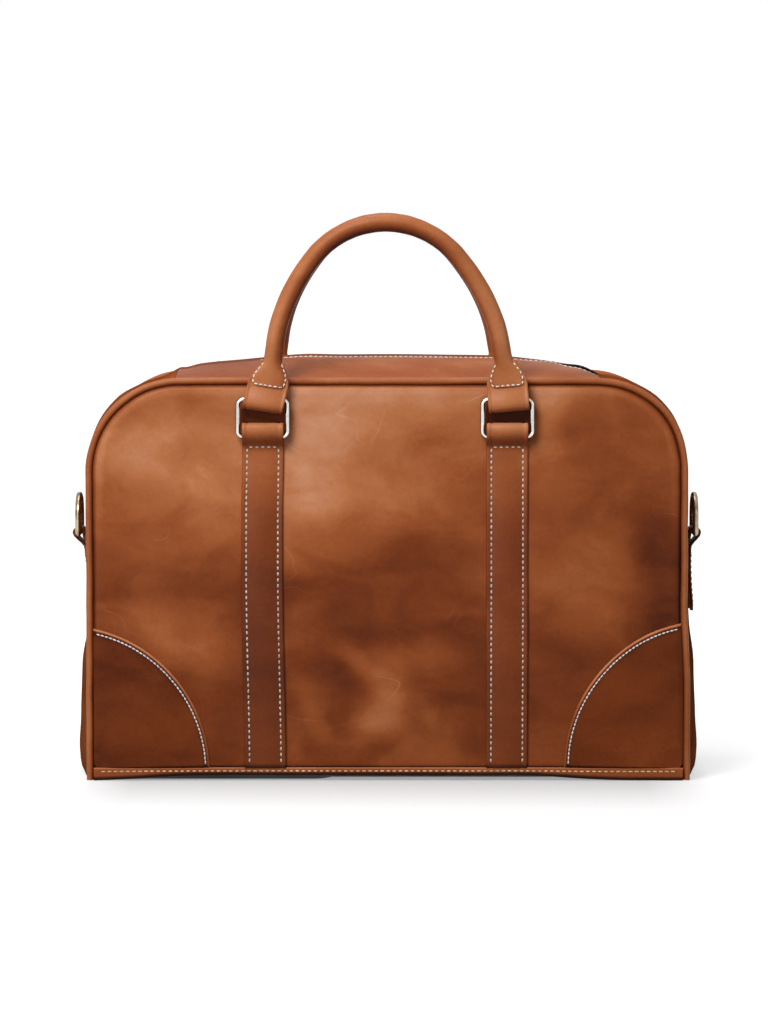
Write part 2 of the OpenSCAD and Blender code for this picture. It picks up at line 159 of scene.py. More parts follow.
def hill(value, amount, mid, width):
    return amount * bell(value, mid, width)


def spread(a, b, n):
    return [a + (b - a) * i / n for i in range(n + 1)]


def eased(table, value):
    """A value looked up in a table, with soft passages between its rows"""
    if value <= table[0][0]:
        return table[0][1]
    for (a, va), (b, vb) in zip(table, table[1:]):
        if value <= b:
            return mix(va, vb, smooth((value - a) / (b - a)))
    return table[-1][1]


def wave(x, z, size_x, size_z, seed):
    return noise.noise(Vector((x / size_x, z / size_z, seed)))


def turned(degrees):
    """An angle's cosine and sine"""
    turn = math.radians(degrees)
    return math.cos(turn), math.sin(turn)


def around(count):
    return [turned(360 * k / count) for k in range(count)]


def bow(mid_u, mid_v, radius, angles):
    """Places on a round stretch with their outward directions, by angles in degrees"""
    return [(mid_u + radius * c, mid_v + radius * s, c, s) for c, s in map(turned, angles)]


def arc(mid_u, mid_v, radius, angles):
    return [spot[:2] for spot in bow(mid_u, mid_v, radius, angles)]


# The bag's right side leans in a little above its middle, from a distance aside and between two heights
RIGHT_LEAN = 2.0
LEAN_X = 140.0
LEAN_LOW = 70.0
LEAN_HIGH = 235.0


def leaned(x, y, z):
    share = smooth((x - LEAN_X) / 60) * smooth((z - LEAN_LOW) / 60) * (1 - smooth((z - LEAN_HIGH) / 35))
    return (x - RIGHT_LEAN * share) / METRE, y / METRE, z / METRE


# Pieces
PIECES = {}
# Edges sharper than these angles in degrees stay crisp, on leather and on zip metal
SOFT_CREASE = 42
METAL_CREASE = 30


def make(name, shape, material, tones, crease):
    """A mesh object in the part's frame"""
    points, faces = shape
    mesh = bpy.data.meshes.new(name)
    mesh.from_pydata([leaned(*p) for p in points], [], faces)
    work = bmesh.new()
    work.from_mesh(mesh)
    bmesh.ops.recalc_face_normals(work, faces=work.faces)
    work.to_mesh(mesh)
    work.free()
    layer = mesh.attributes.new("tone", "FLOAT", "POINT")
    layer.data.foreach_set("value", tones or [0.0] * len(points))
    mesh.polygons.foreach_set("use_smooth", [True] * len(mesh.polygons))
    mesh.set_sharp_from_angle(angle=math.radians(crease))
    mesh.materials.append(material)
    piece = bpy.data.objects.new(name, mesh)
    bpy.context.scene.collection.objects.link(piece)
    PIECES[name] = piece
    return piece


def bend(piece, side, side_x):
    """Bakes the placement of a half of the top's front or back into its mesh"""
    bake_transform(piece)


def add(name, shape, material, slot, *solids, body="bag", bent=None, tones=None, crease=SOFT_CREASE):
    """A piece in the place of solids; tones lighten or darken its leather point by point"""
    piece = make(name, shape, material, tones, crease)
    if bent:
        bend(piece, *bent)
    else:
        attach(piece, body)
    if solids:
        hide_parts(*solids)
    return piece


# Shapes as lists of points and faces
def loft(rings, close=False):
    """A skin through closed rings of equal length, with its two ends capped"""
    n = len(rings[0])
    count = len(rings)
    points = [p for ring in rings for p in ring]
    faces = []
    for i in range(count if close else count - 1):
        a = i * n
        b = (i + 1) % count * n
        faces += [(a + k, a + (k + 1) % n, b + (k + 1) % n, b + k) for k in range(n)]
    if not close:
        faces.append(tuple(reversed(range(n))))
        faces.append(tuple(range((count - 1) * n, count * n)))
    return points, faces


def joined(parts):
    points = []
    faces = []
    for part_points, part_faces in parts:
        first = len(points)
        points += part_points
        faces += [tuple(first + i for i in face) for face in part_faces]
    return points, faces


GROOVE_SHAPE = ((1.1, 0), (0.45, 0.4), (-0.45, 0.4), (-1.1, 0))


def strap_section(half_w, half_t, round_r=0.9, groove_in=0.0):
    """The outline of a flat strip: rounded corners and, on its face, two sunk stitch lines"""
    r = min(round_r, half_t * 0.95, half_w * 0.95)
    outline = []
    for cx, cy, start in ((1, 1, 0), (-1, 1, 90), (-1, -1, 180), (1, -1, 270)):
        outline += arc(cx * (half_w - r), cy * (half_t - r), r, spread(start, start + 90, 3))
        if groove_in and start == 0:
            for place in (half_w - groove_in, groove_in - half_w):
                outline += [(place + w, half_t - drop) for w, drop in GROOVE_SHAPE]
    return outline


def ribbon(stations, across, groove_in):
    """A strip along stations of (middle, outward direction, half width, half thickness)"""
    rings = []
    for place, outward, half_w, half_t in stations:
        section = strap_section(half_w, half_t, groove_in=groove_in)
        rings.append([tuple(place + across * u + outward * v) for u, v in section])
    return loft(rings)


def fold_stations(bar, out, radius, half_w, half_t):
    """The stretch of a strip that goes over a bar"""
    ways = [out * c + UP * s for c, s in map(turned, spread(0, 180, 12))]
    return [(bar + way * radius, way, half_w, half_t) for way in ways]


def round_bar(path, sizes, sides=16, close=False):
    """A bar along a path of (middle, outward direction, sideways direction), of one radius or,
    place by place, of two radii and the power of a rounded box"""
    rings = []
    for i, (place, out, side) in enumerate(path):
        ru, rv, boxy = sizes[i] if isinstance(sizes, list) else (sizes, sizes, 1.0)
        ring = []
        for c, s in around(sides):
            u = math.copysign(abs(c) ** boxy, c)
            v = math.copysign(abs(s) ** boxy, s)
            ring.append(tuple(place + out * (ru * u) + side * (rv * v)))
        rings.append(ring)
    return loft(rings, close)


STITCH_SHAPE = ((-1.0, 0.3), (-0.8, 0.8), (-0.3, 1.0), (0.3, 1.0), (0.8, 0.8), (1.0, 0.3))
STITCH_ROUND = around(6)


# Pitch, length, radius of the thread and how far it sinks in
STRAP_STITCH = (4.25, 2.7, 0.62, 0.15)
TOP_STITCH = (3.7, 3.3, 0.5, 0.1)
BASE_STITCH = (4.4, 3.0, 0.45, 0.15)
PATCH_STITCH = (3.1, 2.7, 0.52, 0.15)
HANDLE_STITCH = (3.6, 2.5, 0.5, 0.0)


def stitch_row(line, pitch, length, radius, sink):
    """Stitches along a line of (place, outward direction)"""
    reach = [0.0]
    for (a, _), (b, _) in zip(line, line[1:]):
        reach.append(reach[-1] + (b - a).length)
    count = max(1, round(reach[-1] / pitch))
    step = reach[-1] / count
    parts = []
    i = 0
    for k in range(count):
        at = (k + 0.5) * step
        while i < len(reach) - 2 and reach[i + 1] < at:
            i += 1
        t = (at - reach[i]) / max(1e-9, reach[i + 1] - reach[i])
        place = line[i][0].lerp(line[i + 1][0], t)
        out = line[i][1].lerp(line[i + 1][1], t).normalized()
        along = (line[i + 1][0] - line[i][0]).normalized()
        side = out.cross(along).normalized()
        rings = []
        for s, r in STITCH_SHAPE:
            mid = place + along * (s * length / 2) + out * (radius * (0.55 - 0.75 * s * s) - sink)
            rings.append([tuple(mid + (side * u + out * v) * (radius * r)) for u, v in STITCH_ROUND])
        parts.append(loft(rings))
    return joined(parts)


# Materials
def tree_of(name):
    material = bpy.data.materials.new(name)
    material.use_nodes = True
    tree = material.node_tree
    return material, tree, tree.nodes["Principled BSDF"]


def feed(tree, node, sockets):
    """Sets or links a node's sockets"""
    for key, value in sockets.items():
        if isinstance(value, bpy.types.NodeSocket):
            tree.links.new(value, node.inputs[key])
        else:
            node.inputs[key].default_value = value


def put(tree, kind, sockets=None, **settings):
    node = tree.nodes.new(kind)
    for key, value in settings.items():
        setattr(node, key, value)
    feed(tree, node, sockets or {})
    return node


def maths(tree, operation, a, b=0.0, clamp=False):
    return put(tree, "ShaderNodeMath", {0: a, 1: b}, operation=operation, use_clamp=clamp).outputs[0]


def weighted(tree, parts, total=0.0):
    """The sum of values, each times its share"""
    for value, share in parts:
        total = maths(tree, "ADD", maths(tree, "MULTIPLY", value, share), total)
    return total


def placed(tree, scale=(1, 1, 1), shift=(0, 0, 0)):
    coords = put(tree, "ShaderNodeTexCoord")
    return put(tree, "ShaderNodeMapping",
               {"Vector": coords.outputs["Object"], "Scale": scale, "Location": shift}).outputs[0]


def clouds(tree, vector, scale, detail=3.0, rough=0.6, distortion=0.0):
    return put(tree, "ShaderNodeTexNoise", {"Vector": vector, "Scale": scale, "Detail": detail,
                                            "Roughness": rough, "Distortion": distortion}).outputs[0]


def bands(tree, vector, scale, distortion, detail, direction):
    return put(tree, "ShaderNodeTexWave", {"Vector": vector, "Scale": scale, "Distortion": distortion,
                                           "Detail": detail}, bands_direction=direction).outputs["Fac"]


def ranged(tree, value, low, high, to_low, to_high):
    return put(tree, "ShaderNodeMapRange", {"Value": value, "From Min": low, "From Max": high,
                                            "To Min": to_low, "To Max": to_high}).outputs[0]


def ramped(tree, value, stops):
    ramp = put(tree, "ShaderNodeValToRGB", {"Fac": value})
    colours = ramp.color_ramp.elements
    while len(colours) < len(stops):
        colours.new(0.5)
    for stop, (place, colour) in zip(colours, stops):
        stop.position = place
        stop.color = (*colour, 1)
    return ramp.outputs[0]


def tone_of(tree):
    """The tone that a mesh carries"""
    return put(tree, "ShaderNodeAttribute", attribute_name="tone").outputs["Fac"]


def relief(tree, height, strength, depth):
    return put(tree, "ShaderNodeBump",
               {"Height": height, "Strength": strength, "Distance": depth}).outputs[0]


# Leather tones from darkest to palest; the dark end also carries painted shade, and the pale, less saturated
# end painted sheen and highlights
LEATHER_STOPS = ((0.0, (0.010, 0.003, 0.001)), (0.2, (0.078, 0.015, 0.004)), (0.4, (0.176, 0.038, 0.009)),
                 (0.6, (0.287, 0.075, 0.0205)), (0.8, (0.430, 0.150, 0.056)), (1.0, (0.565, 0.265, 0.150)))
BROAD_SHARE = 0.30
SPECK_SHARE = 0.10
GLOSS_RANGE = 0.06


def leather(name, shift, level, gloss=0.46, cloud=0.36, shine=0.13, hairline=0.0):
    """Oiled leather: soft clouds, hairlines, fine grain and the mesh's tone"""
    material, tree, shader = tree_of(name)
    flow = placed(tree, (1.0, 1.0, 1.6), shift)
    fine = placed(tree, (1.0, 1.0, 1.0), shift)
    broad = clouds(tree, flow, 7.0, 1.0, 0.5, 0.4)
    cloudy = clouds(tree, flow, 22.0, 3.0, 0.5, 0.5)
    speck = clouds(tree, fine, 330.0)
    grain = clouds(tree, fine, 900.0, 2.0, 0.5)
    parts = ((broad, BROAD_SHARE), (cloudy, cloud), (speck, SPECK_SHARE))
    tone = weighted(tree, parts, level - 0.5 * sum(share for _, share in parts))
    if hairline:
        vein = maths(tree, "ABSOLUTE", maths(tree, "SUBTRACT", clouds(tree, flow, 11.0, 2.0, 0.5, 0.4), 0.5))
        where = ranged(tree, clouds(tree, fine, 23.0, 1.0, 0.5), 0.60, 0.68, 0.0, hairline)
        tone = weighted(tree, [(ranged(tree, vein, 0.0, 0.005, 1.0, 0.0), where)], tone)
    tone = maths(tree, "ADD", tone, tone_of(tree))
    feed(tree, shader, {
        "Base Color": ramped(tree, tone, LEATHER_STOPS),
        "Roughness": ranged(tree, cloudy, 0.3, 0.7, gloss + GLOSS_RANGE, gloss - GLOSS_RANGE),
        "Specular IOR Level": shine,
        "Normal": relief(tree, weighted(tree, [(grain, 0.5)], speck), 0.28, 0.0006)})
    return material


# Painted shade on metal, laid where the mesh's tone is negative
PAINTED_METAL_SHADE = (0.035, 0.028, 0.020)


def metal(name, bright, dark, rough):
    """Plated metal; a negative tone paints dark shade on it"""
    material, tree, shader = tree_of(name)
    haze = clouds(tree, placed(tree), 140.0)
    scratch = clouds(tree, placed(tree, (1, 1, 14)), 300.0, 2.0, 0.5)
    plating = ramped(tree, haze, ((0.35, dark), (0.62, bright)))
    shaded_plating = put(tree, "ShaderNodeMix", {"Factor": maths(tree, "ADD", tone_of(tree), 1.0, clamp=True),
                                       6: (*PAINTED_METAL_SHADE, 1), 7: plating}, data_type="RGBA")
    feed(tree, shader, {
        "Base Color": shaded_plating.outputs[2],
        "Roughness": ranged(tree, scratch, 0.3, 0.7, rough - 0.05, rough + 0.08),
        "Metallic": 1.0,
        "Normal": relief(tree, haze, 0.06, 0.0004)})
    return material


def woven(name, light, dark, pitch):
    """Cloth with its threads as two crossed bands"""
    material, tree, shader = tree_of(name)
    coords = placed(tree)
    crossed = [bands(tree, coords, METRE / pitch / 20, 0.4, 1.0, way) for way in ("X", "DIAGONAL")]
    thread = maths(tree, "MULTIPLY", *crossed)
    shade = weighted(tree, ((thread, 0.6), (clouds(tree, coords, 60.0), 0.5)))
    feed(tree, shader, {
        "Base Color": ramped(tree, shade, ((0.2, dark), (0.8, light))),
        "Roughness": 0.85,
        "Sheen Weight": 0.15,
        "Normal": relief(tree, thread, 0.4, 0.0004)})
    return material


def thread_material(name, dark, light):
    """Waxed thread, with its twist as slanting bands"""
    material, tree, shader = tree_of(name)
    coords = placed(tree)
    twist = bands(tree, coords, 150.0, 1.0, 2.0, "DIAGONAL")
    shade = weighted(tree, ((twist, 0.35), (clouds(tree, coords, 45.0), 0.75)))
    feed(tree, shader, {
        "Base Color": ramped(tree, shade, ((0.2, dark), (0.75, light))),
        "Roughness": 0.6,
        "Normal": relief(tree, twist, 0.3, 0.0003)})
    return material


BODY = leather("body_leather", (0.0, 0.0, 0.0), 0.465, 0.44, 0.44, 0.09, 0.12)
TOP = leather("top_leather", (4.4, 2.9, 6.3), 0.505, 0.47, 0.36, 0.11)
ENDS = leather("end_leather", (3.1, 1.2, 0.7), 0.49, 0.50, 0.38, 0.0)
TRIM = leather("trim_leather", (7.3, 2.2, 4.1), 0.36, 0.44, 0.24)
DARK_TRIM = leather("patch_leather", (1.7, 5.2, 2.6), 0.315, 0.44, 0.34, 0.06)
HANDLE = leather("handle_leather", (5.5, 0.4, 8.8), 0.69, 0.42, 0.26)
NICKEL = metal("polished_nickel", (0.77, 0.77, 0.75), (0.60, 0.58, 0.55), 0.16)
BRASSY = metal("antique_nickel", (0.50, 0.42, 0.29), (0.26, 0.20, 0.12), 0.26)
ZIP_METAL = metal("zip_brass", (0.55, 0.45, 0.28), (0.32, 0.25, 0.14), 0.3)
TAPE = woven("zip_tape_weave", (0.028, 0.026, 0.026), (0.008, 0.007, 0.007), 0.9)
LINING = woven("lining_weave", (0.21, 0.145, 0.095), (0.10, 0.068, 0.045), 0.8)
BOARD = woven("board_fibre", (0.48, 0.37, 0.25), (0.34, 0.26, 0.17), 3.0)
CORE = woven("core_fibre", (0.42, 0.35, 0.23), (0.27, 0.22, 0.14), 2.0)
THREAD = thread_material("cream_thread", (0.50, 0.43, 0.34), (0.84, 0.80, 0.73))
GREY_THREAD = thread_material("grey_thread", (0.34, 0.32, 0.28), (0.60, 0.59, 0.56))
WHITE_THREAD = thread_material("white_thread", (0.50, 0.50, 0.49), (0.80, 0.81, 0.82))
TAN_THREAD = thread_material("tan_thread", (0.44, 0.29, 0.16), (0.80, 0.63, 0.43))


# The straps sit a little to the left of their places, the left one askew
def strap_x(side_x, z):
    if side_x > 0:
        return STRAP_X - 2.3
    return mix(-1.0, -3.0, smooth((z - 10) / 140)) + 0.6 * smooth((z - 190) / 50) - STRAP_X


# Front and back panels
def half_width(z, inset):
    r = CORNER_R - inset
    rise = min(max(0.0, z - CORNER_Z), r)
    return CORNER_X + math.sqrt(r * r - rise * rise)


def edge_distance(x, z, inset):
    over_x = abs(x) - CORNER_X
    over_z = z - CORNER_Z
    if over_x > 0 and over_z > 0:
        return CORNER_R - inset - math.hypot(over_x, over_z)
    return min(HALF_W - inset - abs(x), TOP_Z - inset - z)


# Soft folds: from x, z to x, z, height and half width
FOLDS = ((-168, 122, -112, 92, 1.5, 11), (-150, 98, -116, 72, 1.1, 9), (-60, 66, 30, 52, 1.0, 9),
         (120, 100, 176, 130, 1.2, 12), (-40, 214, 55, 206, 0.9, 14), (118, 168, 160, 186, 0.9, 11))


def fold_height(x, z):
    total = 0.0
    for x0, z0, x1, z1, height, width in FOLDS:
        ux = x1 - x0
        uz = z1 - z0
        t = min(1.0, max(0.0, ((x - x0) * ux + (z - z0) * uz) / (ux * ux + uz * uz)))
        off = math.hypot(x - x0 - t * ux, z - z0 - t * uz)
        total += height * bell(off, 0, width) * math.sin(math.pi * (0.08 + 0.84 * t))
    return total


PANEL_GROOVE = 2.2
GROOVE_W = 3.4
BELLY = 6.0


def panel_out(x, z, side):
    """How far the panel's face stands out of its flat plane"""
    d = edge_distance(x, z, PANEL_INSET)
    seed = 2.7 if side < 0 else 8.3
    folds = fold_height(x * -side, z)
    waves = 1.2 * wave(x, z, 96, 62, seed) + 0.45 * wave(x, z, 37, 30, seed + 5)
    belly = BELLY * smooth(d / 110) * smooth(z / 90) * smooth((262 - z) / 125)
    groove = PANEL_GROOVE * (1 - smooth(d / GROOVE_W))
    return (waves + folds - 0.4) * smooth(d / 26) + belly - groove


def face_y(x, z, side, lift=0.0):
    return side * (-FRONT_Y + panel_out(x, z, side) + lift)


# Pale and dark places of the leather: x, z, reach along and across, tilt in degrees, amount
BLOTCHES = ((-125, 221, 105, 62, 10, 0.12), (-45, 226, 88, 72, 60, 0.19), (-20, 268, 160, 38, 0, 0.09),
            (-150, 101, 66, 24, -22, 0.18), (-9, 60, 52, 30, 75, 0.22), (27, 89, 40, 24, 10, 0.18),
            (134, 140, 66, 50, -15, 0.26), (-63, 121, 34, 26, 40, 0.14), (-186, 253, 50, 46, 0, 0.08),
            (114, 266, 20, 52, 0, 0.14), (20, 30, 90, 34, 0, 0.08), (-120, 60, 44, 40, 60, 0.06),
            (-5, 170, 84, 36, 0, -0.10), (2, 123, 124, 62, 0, -0.10), (150, 213, 84, 98, 0, -0.14),
            (208, 152, 40, 110, 0, -0.16), (63, 192, 50, 66, -30, -0.10), (-114, 145, 84, 24, -8, -0.12),
            (-56, 145, 46, 24, 0, -0.08), (-36, 74, 38, 12, -30, -0.16), (-110, 72, 26, 62, 0, -0.10),
            (62, 62, 40, 52, 0, -0.12), (118, 72, 62, 62, 0, -0.08), (-161, 271, 62, 22, 0, -0.10),
            (-202, 165, 30, 80, 0, -0.08), (-4, 60, 32, 18, 75, 0.09), (-31, 44, 15, 18, 0, -0.12),
            (161, 174, 38, 28, -15, 0.15), (139, 101, 30, 24, 0, 0.07), (-5, 159, 40, 24, 0, -0.05),
            (154, 239, 34, 26, 0, -0.04), (-24, 87, 34, 11, -23, 0.17), (-50, 52, 12, 34, 0, 0.08),
            (-8, 22, 18, 10, 15, -0.12), (20, 33, 14, 14, 0, -0.12), (47, 44, 24, 16, 20, 0.12),
            (66, 24, 24, 24, 0, -0.12), (-66, 42, 16, 36, 0, -0.09), (-3, 149, 40, 10, 0, 0.07))


def blotch_tone(x, z):
    """The pale and dark places, with their edges drawn out of round"""
    at_x = x + 13 * wave(x, z, 44, 34, 1.1)
    at_z = z + 11 * wave(x, z, 44, 34, 7.7)
    total = 0.0
    for mid_x, mid_z, along, across, tilt, amount in BLOTCHES:
        c, s = turned(tilt)
        dx = at_x - mid_x
        dz = at_z - mid_z
        u = (dx * c + dz * s) / along
        v = (dz * c - dx * s) / across
        total += amount * max(0.0, 1 - u * u - v * v) ** 1.5
    return total


FOOT_SHADE = 0.42


def panel_tone(x, z, side):
    """Painted light and shade: paler above and darker towards the right, painted shade in the seam's groove,
    above the base strip and behind the rings, and a painted highlight beside the seam and along the top;
    then the leather's pale and dark places
    """
    d = edge_distance(x, z, PANEL_INSET)
    # Painted shade in the seam's groove, a painted highlight on the edge beside it, and painted shade along
    # the foot above the base strip
    seam = -0.36 * (1 - smooth(d / 2.4)) + 0.10 * bell(d, 4.5, 2.5) * smooth((z - 150) / 80)
    seam -= FOOT_SHADE * bell(z, STRIP_Z + 0.5, 1.1)
    # A painted shadow behind each ring, shifted a little to the right as seen from that side
    shade_x = strap_x(x, BAR_Z) - 1.0 * side
    off_x = max(0.0, abs(x - shade_x) - 14.0) / 8
    off_z = max(0.0, abs(z - BAR_Z - 13) - 8) / 10
    behind = -0.52 * (1 - smooth(math.hypot(off_x, off_z)))
    # Painted light: paler above and darker towards the right; and a painted highlight along the top inside
    # the seam
    rise = 0.19 * smooth((z - 105) / 135) - 0.05 * smooth((-side * x - 40) / 120)
    crown = 0.12 * bell(d, 9, 8) * smooth((z - 200) / 60) * (1 - smooth((abs(x) - 90) / 90))
    return seam + behind + rise + crown + (blotch_tone(x, z) if side < 0 else blotch_tone(-x, TOP_Z - z))


def base_lift(x):
    """How far the base's front and back edges stand off the floor"""
    return max(0.0, 3.7 * (1 - smooth((abs(x + 20) - 110) / 90)) + 0.25 * wave(x, 0, 40, 40, 6.0))


def foot_z(x, z):
    """Heights behind the base's edge close up over its lifted part"""
    high = STRIP_Z - 2.0
    if z >= high:
        return z
    low = max(BASE_T, base_lift(x) + 1.6)
    return mix(low, high, (z - BASE_T) / (high - BASE_T))


def panel_rows():
    """Heights of the panel's rows and their half widths, close together behind the base's edge"""
    foot = [STRIP_Z + step for step in (-1.0, -0.2, 0.5, 1.3)]
    heights = spread(BASE_T, STRIP_Z - 2, 2) + foot + spread(STRIP_Z + 2.2, CORNER_Z, 74)
    corner = arc(CORNER_X, CORNER_Z, CORNER_R - PANEL_INSET, spread(0, 90, 40)[1:])
    return [(z, half_width(z, PANEL_INSET)) for z in heights] + [(z, half) for half, z in corner]


for side, end_y in SIDES_Y:
    rings = []
    tones = []
    for z, half in panel_rows():
        outer = []
        for u in spread(-1, 1, 150):
            foot = foot_z(u * half, z)
            outer.append((u * half, face_y(u * half, foot, side), foot))
        inner = [(x, y - side * PANEL_T, z) for x, y, z in reversed(outer)]
        rings.append(outer + inner)
        tones += [panel_tone(x, z, side) for x, _, z in outer] + [0.0] * len(outer)
    add(end_y + "_panel_leather", loft(rings), BODY, "body_leather", end_y + "_panel", tones=tones)

# Piping round each panel
PIPE_SIDES = 14


def piping_path(side):
    """Up the right side, over the top and down the left"""
    right = [(SEAM_X, z, 1, 0) for z in spread(0.4, CORNER_Z, 44)]
    right += bow(CORNER_X, CORNER_Z, SEAM_R, spread(0, 90, 24)[1:-1])
    top = [(x, SEAM_Z, 0, 1) for x in spread(CORNER_X, -CORNER_X, 60)]
    left = [(-x, z, -nx, nz) for x, z, nx, nz in reversed(right)]
    path = []
    for i, (x, z, nx, nz) in enumerate(right + top + left):
        out = Vector((nx, 0, nz))
        wobble = 0.35 * noise.noise(Vector((i * 0.21, side * 3.0, 1.5)))
        sway = 0.3 * noise.noise(Vector((i * 0.17, 5, side)))
        path.append((Vector((x, side * (sway - PIPE_Y), z)) + out * wobble, out, Y_WAY * side))
    return path


for side, end_y in SIDES_Y:
    path = piping_path(side)
    radii = [PIPE_R + 0.12 * noise.noise(Vector((i * 0.33, 2.2, 0))) for i in range(len(path))]
    # Painted shade on each cord's inner side, towards its panel
    tones = [0.33 - 0.40 * max(0.0, -c) for c, _ in around(PIPE_SIDES)] * len(path)
    add(end_y + "_piping_cord", round_bar(path, [(r, r, 1.0) for r in radii], PIPE_SIDES), TRIM,
        "trim_leather", end_y + "_piping", tones=tones)


# The gusset: a strip that runs from the top's middle over the shoulder to the floor
def crest_rise(x):
    return CREST_RISE - (x * x / (2 * CREST_R) + max(0.0, abs(x) - TAIL_X) ** 2 / (2 * TAIL_R))


# The bulge of a shoulder by its angle in degrees
SHOULDER_BULGE = [(0, 5.0), (30, 5.4), (45, 5.0), (62, 3.1), (72, 2.2), (84, 1.3),
                  (90, crest_rise(CORNER_X))]


def station(p):
    """Place, outward direction and bulge at a distance p along the right half of the strip"""
    if p <= CORNER_X:
        return p, SEAM_Z, 0.0, 1.0, crest_rise(p)
    if p <= SIDE_START:
        angle = 90 - math.degrees((p - CORNER_X) / SEAM_R)
        return *bow(CORNER_X, CORNER_Z, SEAM_R, [angle])[0], eased(SHOULDER_BULGE, angle)
    z = SIDE_END - p
    return SEAM_X, z, 1.0, 0.0, eased(END_BULGE, z)


# Both ends are pressed in a little below their D-rings, and the left one stands up beside the zip's end:
# amount, height (or the hump's distance along the strip) and reach
LEFT_DENT = (6.2, 133.0, 33.0)
RIGHT_DENT = (0.9, 146.0, 24.0)
LEFT_HUMP = (4.0, 156.0, 6.8)


def strip_point(p, v, depth=0.0, side_x=1):
    x, z, nx, nz, bulge = station(p)
    crown = 1 - abs(v) ** 2.2
    ripple = 0.9 * wave(p, v * 70, 60, 45, 4.0 + side_x) * crown * smooth((p - 120) / 60)
    tuck = -1.0 * smooth((abs(v) - 0.93) / 0.07) * smooth((p - 150) / 40)
    dent = hill(z, *LEFT_DENT) - hill(p, *LEFT_HUMP) if side_x < 0 else hill(z, *RIGHT_DENT)
    h = (bulge - dent) * crown + ripple + tuck - depth
    return side_x * (x + nx * h), v * GUSSET_HALF, z + nz * h


ACROSS = spread(-1, 1, 40)
LAP = 6.0
GUSSET_STOPS = spread(ZIP_END_X - LAP / 2, SIDE_START, 24) + spread(SIDE_START, SIDE_END - 0.3, 50)[1:]

for side_x, end in SIDES_X:
    rings = []
    for p in GUSSET_STOPS:
        outer = [strip_point(p, v, 0.0, side_x) for v in ACROSS]
        rings.append(outer + [strip_point(p, v, SHEET_T, side_x) for v in reversed(ACROSS)])
    shade = [-0.10 * smooth((abs(v) - 0.90) / 0.10) for v in ACROSS]
    tones = (shade + [0.0] * len(shade)) * len(rings)
    add(end + "_gusset_leather", loft(rings), ENDS, "body_leather", end + "_gusset", end + "_top_end",
        tones=tones)

# The zipped top in four quarters
LIP_W = 4.5
LIP_RISE = 1.6
LIP_IN = 4.6
# Where the crest runs more level than its arch, at the left and at the right: amount, place and reach
LEFT_LEVEL = (1.5, -64.0, 22.0)
RIGHT_LEVEL = (1.3, 88.0, 34.0)
# How a lip's edge rolls over: steps towards the zip and down
LIP_ROLL = ((0.75, 0.5), (0.95, 1.1), (0.6, 1.75))
TOP_STOPS = spread(0, CORNER_X, 50) + [CORNER_X + 2.5, CORNER_X + 5, ZIP_END_X + LAP / 2]


def lip_dip(x, y, side):
    """The edges lie lower beside the zip's right end, and the front one stands up beside the slider"""
    off = abs(y) - SLOT_HALF
    if side > 0:
        return 0.7 * bell(x, 132, 9) * smooth(1 - off / 60)
    low = 2.1 * smooth((x - 119) / 16) * (1 - smooth((x - 153) / 8))
    return low * smooth(1 - off / 48) - 1.1 * math.exp(-((x + 114) / 34) ** 4) * smooth(1 - off / 22)


def crest_lift(x):
    """The crest runs more level than its arch between the straps"""
    return 0.5 * (1 - smooth((abs(x) - 80) / 30)) + hill(x, *(LEFT_LEVEL if x < 0 else RIGHT_LEVEL))


def top_point(p, y, depth, side_x, side):
    """A point of the top by its distance along and its place across"""
    x, _, z = strip_point(p, y / GUSSET_HALF, depth, side_x)
    edge = smooth(1 - (abs(y) - SLOT_HALF) / 22)
    lip = smooth(1 - (abs(y) - SLOT_HALF) / LIP_W)
    lift = crest_lift(x) * (1 - (abs(y) / GUSSET_HALF) ** 2.2)
    rise = LIP_RISE * (1 - (0.75 * smooth((x - 90) / 30) if side < 0 else 0.0))
    return x, y, z + lift + rise * (lip - edge) - lip_dip(x, y, side)


def top_sink(p):
    """The top lies flush with the gusset, and its end goes under it"""
    return 2.3 * smooth((p - ZIP_END_X + LAP / 2) / 3)


for side, side_x, end_y, end_x in QUARTERS:
    places = spread(side * GUSSET_HALF, side * 13, 20) + spread(side * 12, side * SLOT_HALF, 7)
    shade = [0.04 - 0.16 * smooth(1 - abs(abs(y) - SLOT_HALF) / 7) + 0.06 * smooth((abs(y) - 60) / 12)
             for y in places]
    rings = []
    tones = []
    for p in TOP_STOPS:
        sink = top_sink(p)
        outer = [top_point(p, y, sink, side_x, side) for y in places]
        lip_x, lip_y, lip_z = outer[-1]
        lip = [(lip_x, lip_y - side * inward, lip_z - drop) for inward, drop in LIP_ROLL]
        inner = [top_point(p, y, SHEET_T + sink, side_x, side) for y in reversed(places)]
        rings.append(outer + lip + inner)
        lip_dark = -0.30 - (0.25 * smooth((p - 105) / 20) if side_x > 0 else 0.0)
        tones += shade + [lip_dark] * len(lip) + [0.0] * len(places)
    add(f"{end_y}_top_{end_x}", loft(rings), TOP, "body_leather", end_y + "_zip_flap",
        bent=(side, side_x), tones=tones)

    line = []
    for p in spread(0, ZIP_END_X - 4, 80):
        place = Vector(top_point(p, side * (SLOT_HALF + LIP_IN), 0.0, side_x, side))
        place.z -= 1.1 * smooth((p - 85) / 20) if side_x < 0 else 0.0
        line.append((place, Vector((0, side * 0.2, 1)).normalized()))
    add(f"{end_y}_top_{end_x}_stitches", stitch_row(line, *TOP_STITCH), THREAD, "thread",
        bent=(side, side_x))

# The zip's two tapes, and its teeth one by one
TAPE_DROP = 4.0
TAPE_T = 0.8
TAPE_OUT = 14.0
TOOTH_PITCH = 2.6
TOOTH_TOP = 2.7
TOOTH_H = 2.4
ZIP_STOP_X = 142.0
